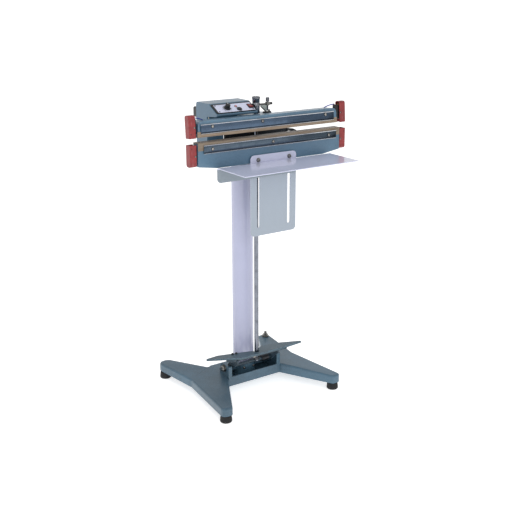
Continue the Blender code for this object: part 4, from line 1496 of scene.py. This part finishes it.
@dataclass
class ControlBox:
    """Console with its sloping control face and everything on it."""

    left: float = -156.5
    right: float = -14.0
    foot: tuple[float, float] = (-115.0, 922.9)
    top: tuple[float, float] = (-75.0, 944.6)
    knob_at: tuple[float, float] = (-109.0, 21.5)
    lamp_at: tuple[float, float] = (-76.0, 27.0)
    fuse_at: tuple[float, float] = (-71.0, 12.6)
    rocker_at: tuple[float, float] = (-28.0, 22.0)
    screws_at: tuple[tuple[float, float], ...] = ((-142.0, 8.0), (-142.0, 37.5), (-24.5, 8.0))

    def face(self) -> Matrix:
        """From (across, up the slope, off it) to the machine's coordinates."""
        foot = Vector((0.0, *self.foot))
        up = (Vector((0.0, *self.top)) - foot).normalized()
        out = Vector((1.0, 0.0, 0.0)).cross(up)
        turn = Matrix((Vector((1.0, 0.0, 0.0)), up, out)).transposed().to_4x4()
        return Matrix.Translation(foot) @ turn

    def build(self) -> None:
        """Dresses the case and adds the parts of the face and rear, the skirt and the wire."""
        Coat(BLUE).dress("control_box")
        Coat(BLACK, STEEL, 0.3).dress("control_box_cover")
        Coat(FILM, None, 0.2).dress("control_panel")
        Coat(BLACK_PLASTIC, None, 0.5).dress("inlet_gland")
        Coat(CORE).dress("transformer")
        Coat(BOARD).dress("circuit_board")
        self.bezel()
        self.knob()
        self.scale()
        self.small_parts()
        self.rocker()
        self.rear()
        self.skirt()
        self.wire()

    def on_face(self, shape: Shape, at: tuple[float, float] = (0.0, 0.0)) -> Shape:
        """Takes a shape drawn off the face to a place on it."""
        return shape.put(self.face() @ Matrix.Translation((at[0], at[1], 0.0)))

    def bezel(self) -> None:
        """Black raised frame round the film, with three pan screws."""
        a0, b0, a1, b1 = self.left + 2.2, 0.8, self.right - 2.2, 44.6
        border = Shape.slab(rounded_box(a0, b0, a1, b1, 3.0), 2.3)
        hole = Shape.slab(rounded_box(a0 + 7.0, b0 + 1.9, a1 - 2.6, b1 - 3.4, 1.6), 9.0)
        border.cut(hole.move((0.0, 0.0, -2.0)))
        self.on_face(border.move((0.0, 0.0, 0.05)))
        border.finish("panel_bezel", BLACK_INK, "black_plastic")
        screws = Shape()
        for x, up in self.screws_at:
            screws.add(PanScrew(2.2, 1.1).shape().turn(x).move((x, up, 1.8)))
        self.on_face(screws).finish("panel_screws", STEEL, "zinc")

    def knob(self) -> None:
        """Skirted timer knob with flutes, a wing grip and a white pointer line."""
        skirt = [(0.0, 2.1), (10.0, 2.1), (10.3, 2.6), (10.2, 4.2), (8.6, 5.0), (7.7, 5.4)]
        skirt += [(7.4, 14.0), (6.8, 15.0), (0.0, 15.0)]
        made = Shape.turned(skirt, 48)
        flutes = []
        for k in range(12):
            groove = Shape.turned([(0.0, 5.6), (0.7, 5.6), (0.7, 16.0), (0.0, 16.0)], 10)
            flutes.append(groove.move((7.7, 0.0, 0.0)).turn(math.tau * k / 12.0))
        made.cut(*flutes)
        grip = Shape.box((-2.0, -9.4, 4.6), (2.0, 9.6, 16.6)).soften(0.9, 3)
        self.on_face(made.add(grip), self.knob_at).finish(
            "timer_dial", BLACK_PLASTIC, "black_plastic", Body.TIMER, ["timer_knob"]
        )
        line = Shape.box((-0.45, 1.5, 16.4), (0.45, 8.9, 16.8)).soften(0.1)
        self.on_face(line, self.knob_at).finish("timer_line", WHITE_INK, "panel_film", Body.TIMER)

    def scale(self) -> None:
        """Printed arc of marks with generic figures round the knob."""
        marks = Shape()
        count = 9
        angles = [math.radians(225.0 - 270.0 * k / (count - 1)) for k in range(count)]
        for angle in angles:
            marks.add(Shape.box((12.2, -0.8, 1.8), (14.6, 0.8, 1.92)).turn(angle))
        arc = Shape.turned([(11.2, 1.8), (12.4, 1.8), (12.4, 1.9), (11.2, 1.9), (11.2, 1.8)], 64)
        wedge = Shape.slab([(0.0, 0.0), (-20.0, -20.0), (20.0, -20.0)], 4.0)
        marks.add(arc.cut(wedge))
        for k in range(1, count, 2):
            text = bpy.data.curves.new("figure", "FONT")
            text.body = str(k)
            text.size, text.align_x, text.align_y = 4.4, "CENTER", "CENTER"
            text.extrude = 0.05
            figure = Shape.from_object(bpy.data.objects.new("figure", text))
            figure.move((17.6 * math.cos(angles[k]), 14.6 * math.sin(angles[k]) + 1.0, 1.9))
            marks.add(figure)
        self.on_face(marks, self.knob_at).finish("timer_scale", BLACK_INK, "black_plastic")

    def small_parts(self) -> None:
        """Lamp with its bezel and the slotted fuse cap."""
        dome = [(0.0, 2.1), (3.2, 2.1), (3.2, 3.6), (2.6, 4.8), (1.4, 5.4), (0.0, 5.6)]
        self.on_face(Shape.turned(dome, 28), self.lamp_at).finish(
            "pilot_lens", LENS, "lamp_lens", replaces=["indicator_lamp"]
        )
        rim = [(3.3, 1.8), (4.6, 1.8), (4.7, 2.6), (4.2, 3.1), (3.3, 3.1), (3.3, 1.8)]
        self.on_face(Shape.turned(rim, 32), self.lamp_at).finish("pilot_rim", ZINC, "zinc")
        cap = [(0.0, 2.1), (8.4, 2.1), (8.6, 2.6), (8.2, 3.4), (6.8, 3.8), (6.5, 4.9), (5.8, 5.4)]
        cap += [(0.0, 5.4)]
        fuse = Shape.turned(cap, 36).cut(Shape.box((-4.4, -0.6, 4.2), (4.4, 0.6, 9.0)))
        self.on_face(fuse, self.fuse_at).finish(
            "fuse_cap", BLACK_PLASTIC, "black_plastic", replaces=["fuse_holder"]
        )

    def rocker(self) -> None:
        """Red rocker with rounded edges, its white mark and black frame."""
        side_view = [(-8.0, 4.0), (0.0, 2.1), (8.0, 2.1), (8.0, 3.6), (3.0, 4.3), (0.0, 5.2)]
        side_view += [(-4.0, 6.3), (-8.0, 8.0)]
        made = Shape.slab(side_view, 12.0)
        made.put(along_x(-6.0)).soften(0.5, 2, 20.0)
        self.on_face(made, self.rocker_at).finish(
            "switch_rocker", RED, "red_plastic", Body.ROCKER, ["power_rocker"]
        )
        mark = Shape.box((-0.5, 4.6, 3.72), (0.5, 7.4, 4.1)).soften(0.08)
        self.on_face(mark, self.rocker_at).finish(
            "rocker_mark", WHITE_INK, "panel_film", Body.ROCKER
        )
        rim = Shape.slab(rounded_box(-8.2, -10.4, 8.2, 10.4, 1.2), 1.5)
        rim.cut(Shape.slab(rounded_box(-6.4, -8.5, 6.4, 8.5, 0.6), 9.0).move((0.0, 0.0, -2.0)))
        rim.soften(0.3, 2)
        self.on_face(rim.move((0.0, 0.0, 1.8)), self.rocker_at).finish(
            "rocker_frame", BLACK_PLASTIC, "black_plastic"
        )

    def rear(self) -> None:
        """Screws and pressed louvres of the rear cover, and the clamp screws of the gland."""
        screws = Shape()
        for x, z in ((-151.0, 820.0), (-107.0, 820.0), (-118.0, 933.0), (-22.0, 933.0)):
            head = PanScrew(2.8, 1.8).shape().turn(x)
            screws.add(head.turn(-QUARTER, Axis.X).move((x, 4.0, z)))
        for z in (902.0, 927.0):
            head = PanScrew(2.4, 1.6).shape()
            screws.add(head.turn(-QUARTER, Axis.X).move((-138.0, 24.0, z)))
        screws.finish("rear_screws", ZINC, "zinc")
        louvres = Shape()
        for k in range(6):
            z = 836.0 + 9.0 * k
            profile = [(4.0, z), (6.4, z + 0.6), (6.6, z + 1.4), (4.0, z + 5.0)]
            louvres.add(Shape.slab(profile, 34.0).put(along_x(-146.0)).soften(0.4, 2))
        louvres.finish("rear_louvres", BLACK, "black_steel")

    def skirt(self) -> None:
        """Painted web that closes the case under its overhang, with a folded lower lip."""
        web = Shape.box((-101.0, -60.0, 867.0), (-49.0, -58.4, 910.5)).soften(0.5)
        lip = Shape.box((-100.0, -59.6, 867.0), (-50.0, -54.0, 868.4)).soften(0.4)
        web.add(lip).finish("case_skirt", BLUE, "blue_grey")

    def wire(self) -> None:
        """Cream sleeved wire that loops out under the console."""
        path = [(-151.0, -59.0, 914.0), (-153.0, -64.0, 913.0), (-156.0, -70.0, 908.0)]
        path += [(-157.0, -71.0, 901.0), (-154.0, -66.0, 894.0), (-150.0, -61.0, 889.0)]
        path += [(-147.0, -58.5, 887.0)]
        Shape.wire(path, 1.2).finish("cream_wire", CREAM, "lead_blue")


@dataclass
class Shelf:
    """Slotted hanging plate and the adjustable tray in front of it."""

    slot_x: float = 56.0
    plate_front: float = -181.0
    bolt_z: float = 789.0
    clamp_z: float = 757.0
    flange_front: float = -184.4

    def build(self) -> None:
        """Dresses the sheets and adds their screws."""
        Coat(PLATE, LAVENDER_HIGHLIGHT_EDGE, 0.5).dress("slotted_plate")
        Coat(TRAY, LAVENDER_HIGHLIGHT_EDGE, 0.4).dress("tray")
        for hand, side in HANDS:
            x = side * self.slot_x
            bolt = SocketScrew(5.4, 4.6, 6.6, 3.2).shape()
            bolt.face_front((x, self.plate_front - 0.3, self.bolt_z))
            nut = Shape.hexagon(10.0, 0.0, 3.4, 0.4).face_front((x, -174.7, self.bolt_z))
            bolt.add(nut)
            bolt.finish(f"plate_screw_{hand}", ZINC, "zinc", replaces=[f"plate_bolt_{hand}"])
            clamp = SocketScrew(6.2, 5.2, 8.0, 4.0).shape()
            clamp.face_front((x, self.flange_front - 0.3, self.clamp_z))
            back = LockNut(11.0, 3.4, 3.0, 6.8).shape().turn(-QUARTER, Axis.X)
            clamp.add(back.move((x, -178.2, self.clamp_z)))
            name = f"tray_screw_{hand}"
            clamp.finish(name, ZINC, "zinc", Body.TRAY, [f"tray_clamp_{hand}"])


# Studio


@dataclass(frozen=True)
class Studio:
    """Pale floor, soft lamps and the camera."""

    camera_at: tuple[float, float, float] = (-1.5151, -2.2630, 1.3116)
    look: tuple[float, float, float] = (0.5378, 0.7871, -0.3021)
    lens: float = 62.14
    shift: tuple[float, float] = (-0.0037, -0.0039)
    floor_half: float = 60.0
    surround: float = 0.92
    zenith: float = 0.62
    floor_glow: float = 0.62

    def camera(self) -> None:
        """Makes the scene's camera."""
        data = bpy.data.cameras.new("camera")
        data.lens, data.sensor_width = self.lens, 36.0
        data.shift_x, data.shift_y = self.shift
        data.clip_start, data.clip_end = 0.05, 300.0
        obj = bpy.data.objects.new("camera", data)
        obj.location = self.camera_at
        obj.rotation_mode = "QUATERNION"
        obj.rotation_quaternion = Vector(self.look).to_track_quat("-Z", "Y")
        bpy.context.scene.collection.objects.link(obj)
        bpy.context.scene.camera = obj

    def floor(self) -> None:
        """A wide pale floor."""
        bm = bmesh.new()
        bmesh.ops.create_grid(bm, x_segments=2, y_segments=2, size=self.floor_half)
        mesh = bpy.data.meshes.new("studio_floor")
        bm.to_mesh(mesh)
        bm.free()
        graph = Graph("studio_floor")
        cloud = graph.noise(0.8, 2.0)
        graph.drive("Base Color", cloud.blend((0.90, 0.90, 0.90, 1.0), (0.92, 0.92, 0.92, 1.0)))
        graph.fix(Roughness=0.8, Specular_IOR_Level=0.05)
        graph.fix(Emission_Color=(1.0, 1.0, 1.0, 1.0), Emission_Strength=self.floor_glow)
        mesh.materials.append(graph.material)
        obj = bpy.data.objects.new("studio_floor", mesh)
        bpy.context.scene.collection.objects.link(obj)

    def lamp(
        self, name: str, at: Point, aim: Point, size: tuple[float, float], watts: float
    ) -> None:
        """A rectangular soft lamp.

        Args:
            name: Its name.
            at: Where it hangs, in metres.
            aim: The point it faces.
            size: Its width and height.
            watts: Its power.
        """
        data = bpy.data.lights.new(name, "AREA")
        data.shape = "RECTANGLE"
        data.size, data.size_y = size
        data.energy = watts
        obj = bpy.data.objects.new(name, data)
        obj.location = at
        obj.rotation_mode = "QUATERNION"
        obj.rotation_quaternion = (Vector(aim) - Vector(at)).to_track_quat("-Z", "Y")
        bpy.context.scene.collection.objects.link(obj)

    def card(
        self, name: str, at: Point, aim: Point, size: tuple[float, float], shade: float
    ) -> None:
        """A dark card that only bright metal and gloss can see.

        Args:
            name: Its name.
            at: Its middle, in metres.
            aim: The point it faces.
            size: Its width and height.
            shade: How much light it gives back.
        """
        bm = bmesh.new()
        bmesh.ops.create_grid(bm, x_segments=1, y_segments=1, size=0.5)
        bmesh.ops.scale(bm, vec=(size[0], size[1], 1.0), verts=bm.verts)
        turn = (Vector(aim) - Vector(at)).to_track_quat("Z", "Y").to_matrix().to_4x4()
        bmesh.ops.transform(bm, matrix=Matrix.Translation(at) @ turn, verts=bm.verts)
        mesh = bpy.data.meshes.new(name)
        bm.to_mesh(mesh)
        bm.free()
        graph = Graph(name)
        cloth = graph.noise(40.0, 2.0)
        dark = (shade, shade, shade, 1.0)
        pale = (shade * 1.3, shade * 1.3, shade * 1.3, 1.0)
        graph.drive("Base Color", cloth.blend(dark, pale))
        graph.fix(Roughness=1.0, Specular_IOR_Level=0.0)
        mesh.materials.append(graph.material)
        obj = bpy.data.objects.new(name, mesh)
        obj.visible_camera = False
        obj.visible_diffuse = False
        obj.visible_shadow = False
        bpy.context.scene.collection.objects.link(obj)

    def sky(self) -> None:
        """White surround that dims overhead."""
        world = bpy.data.worlds.new("surround")
        world.use_nodes = True
        tree = world.node_tree
        ground = tree.nodes["Background"]
        at = tree.nodes.new("ShaderNodeTexCoord")
        split = tree.nodes.new("ShaderNodeSeparateXYZ")
        rise = tree.nodes.new("ShaderNodeMapRange")
        rise.inputs["From Min"].default_value = 0.05
        rise.inputs["From Max"].default_value = 0.8
        rise.inputs["To Min"].default_value = 1.0
        rise.inputs["To Max"].default_value = self.zenith
        tree.links.new(at.outputs["Generated"], split.inputs[0])
        tree.links.new(split.outputs["Z"], rise.inputs["Value"])
        tree.links.new(rise.outputs[0], ground.inputs["Color"])
        ground.inputs["Strength"].default_value = self.surround
        bpy.context.scene.world = world

    def build(self) -> None:
        """Sets up the stage."""
        self.camera()
        self.floor()
        self.sky()
        self.lamp("key", (-0.9, -3.0, 2.2), (0.0, 0.0, 0.5), (1.8, 1.8), 26.0)
        self.lamp("overhead", (-0.2, 0.2, 3.1), (0.0, 0.0, 0.5), (2.4, 2.4), 12.0)
        aim = (0.0, 0.0, 0.8)
        self.card("card_side", (2.25, -0.55, 1.0), aim, (1.3, 2.6), 0.03)
        self.card("card_strip", (1.95, -1.55, 1.0), aim, (0.9, 2.6), 0.45)
        self.card("card_front", (-0.45, -2.6, 0.9), aim, (0.7, 2.6), 0.03)
        view = bpy.context.scene.view_settings
        view.view_transform = "Standard"
        view.look = "None"


def main() -> None:
    """Builds the studio and every sub-assembly in order."""
    logging.basicConfig(level=logging.INFO, format="%(name)s %(message)s")
    Studio().build()
    builders: list[Callable[[], None]] = [
        FloorBase().build,
        Post().build,
        Pedal().build,
        HeadFrame().build,
        Jaws().build,
        PressurePost().build,
        ControlBox().build,
        Shelf().build,
    ]
    for build in builders:
        build()


if __name__ == "__main__":
    main()
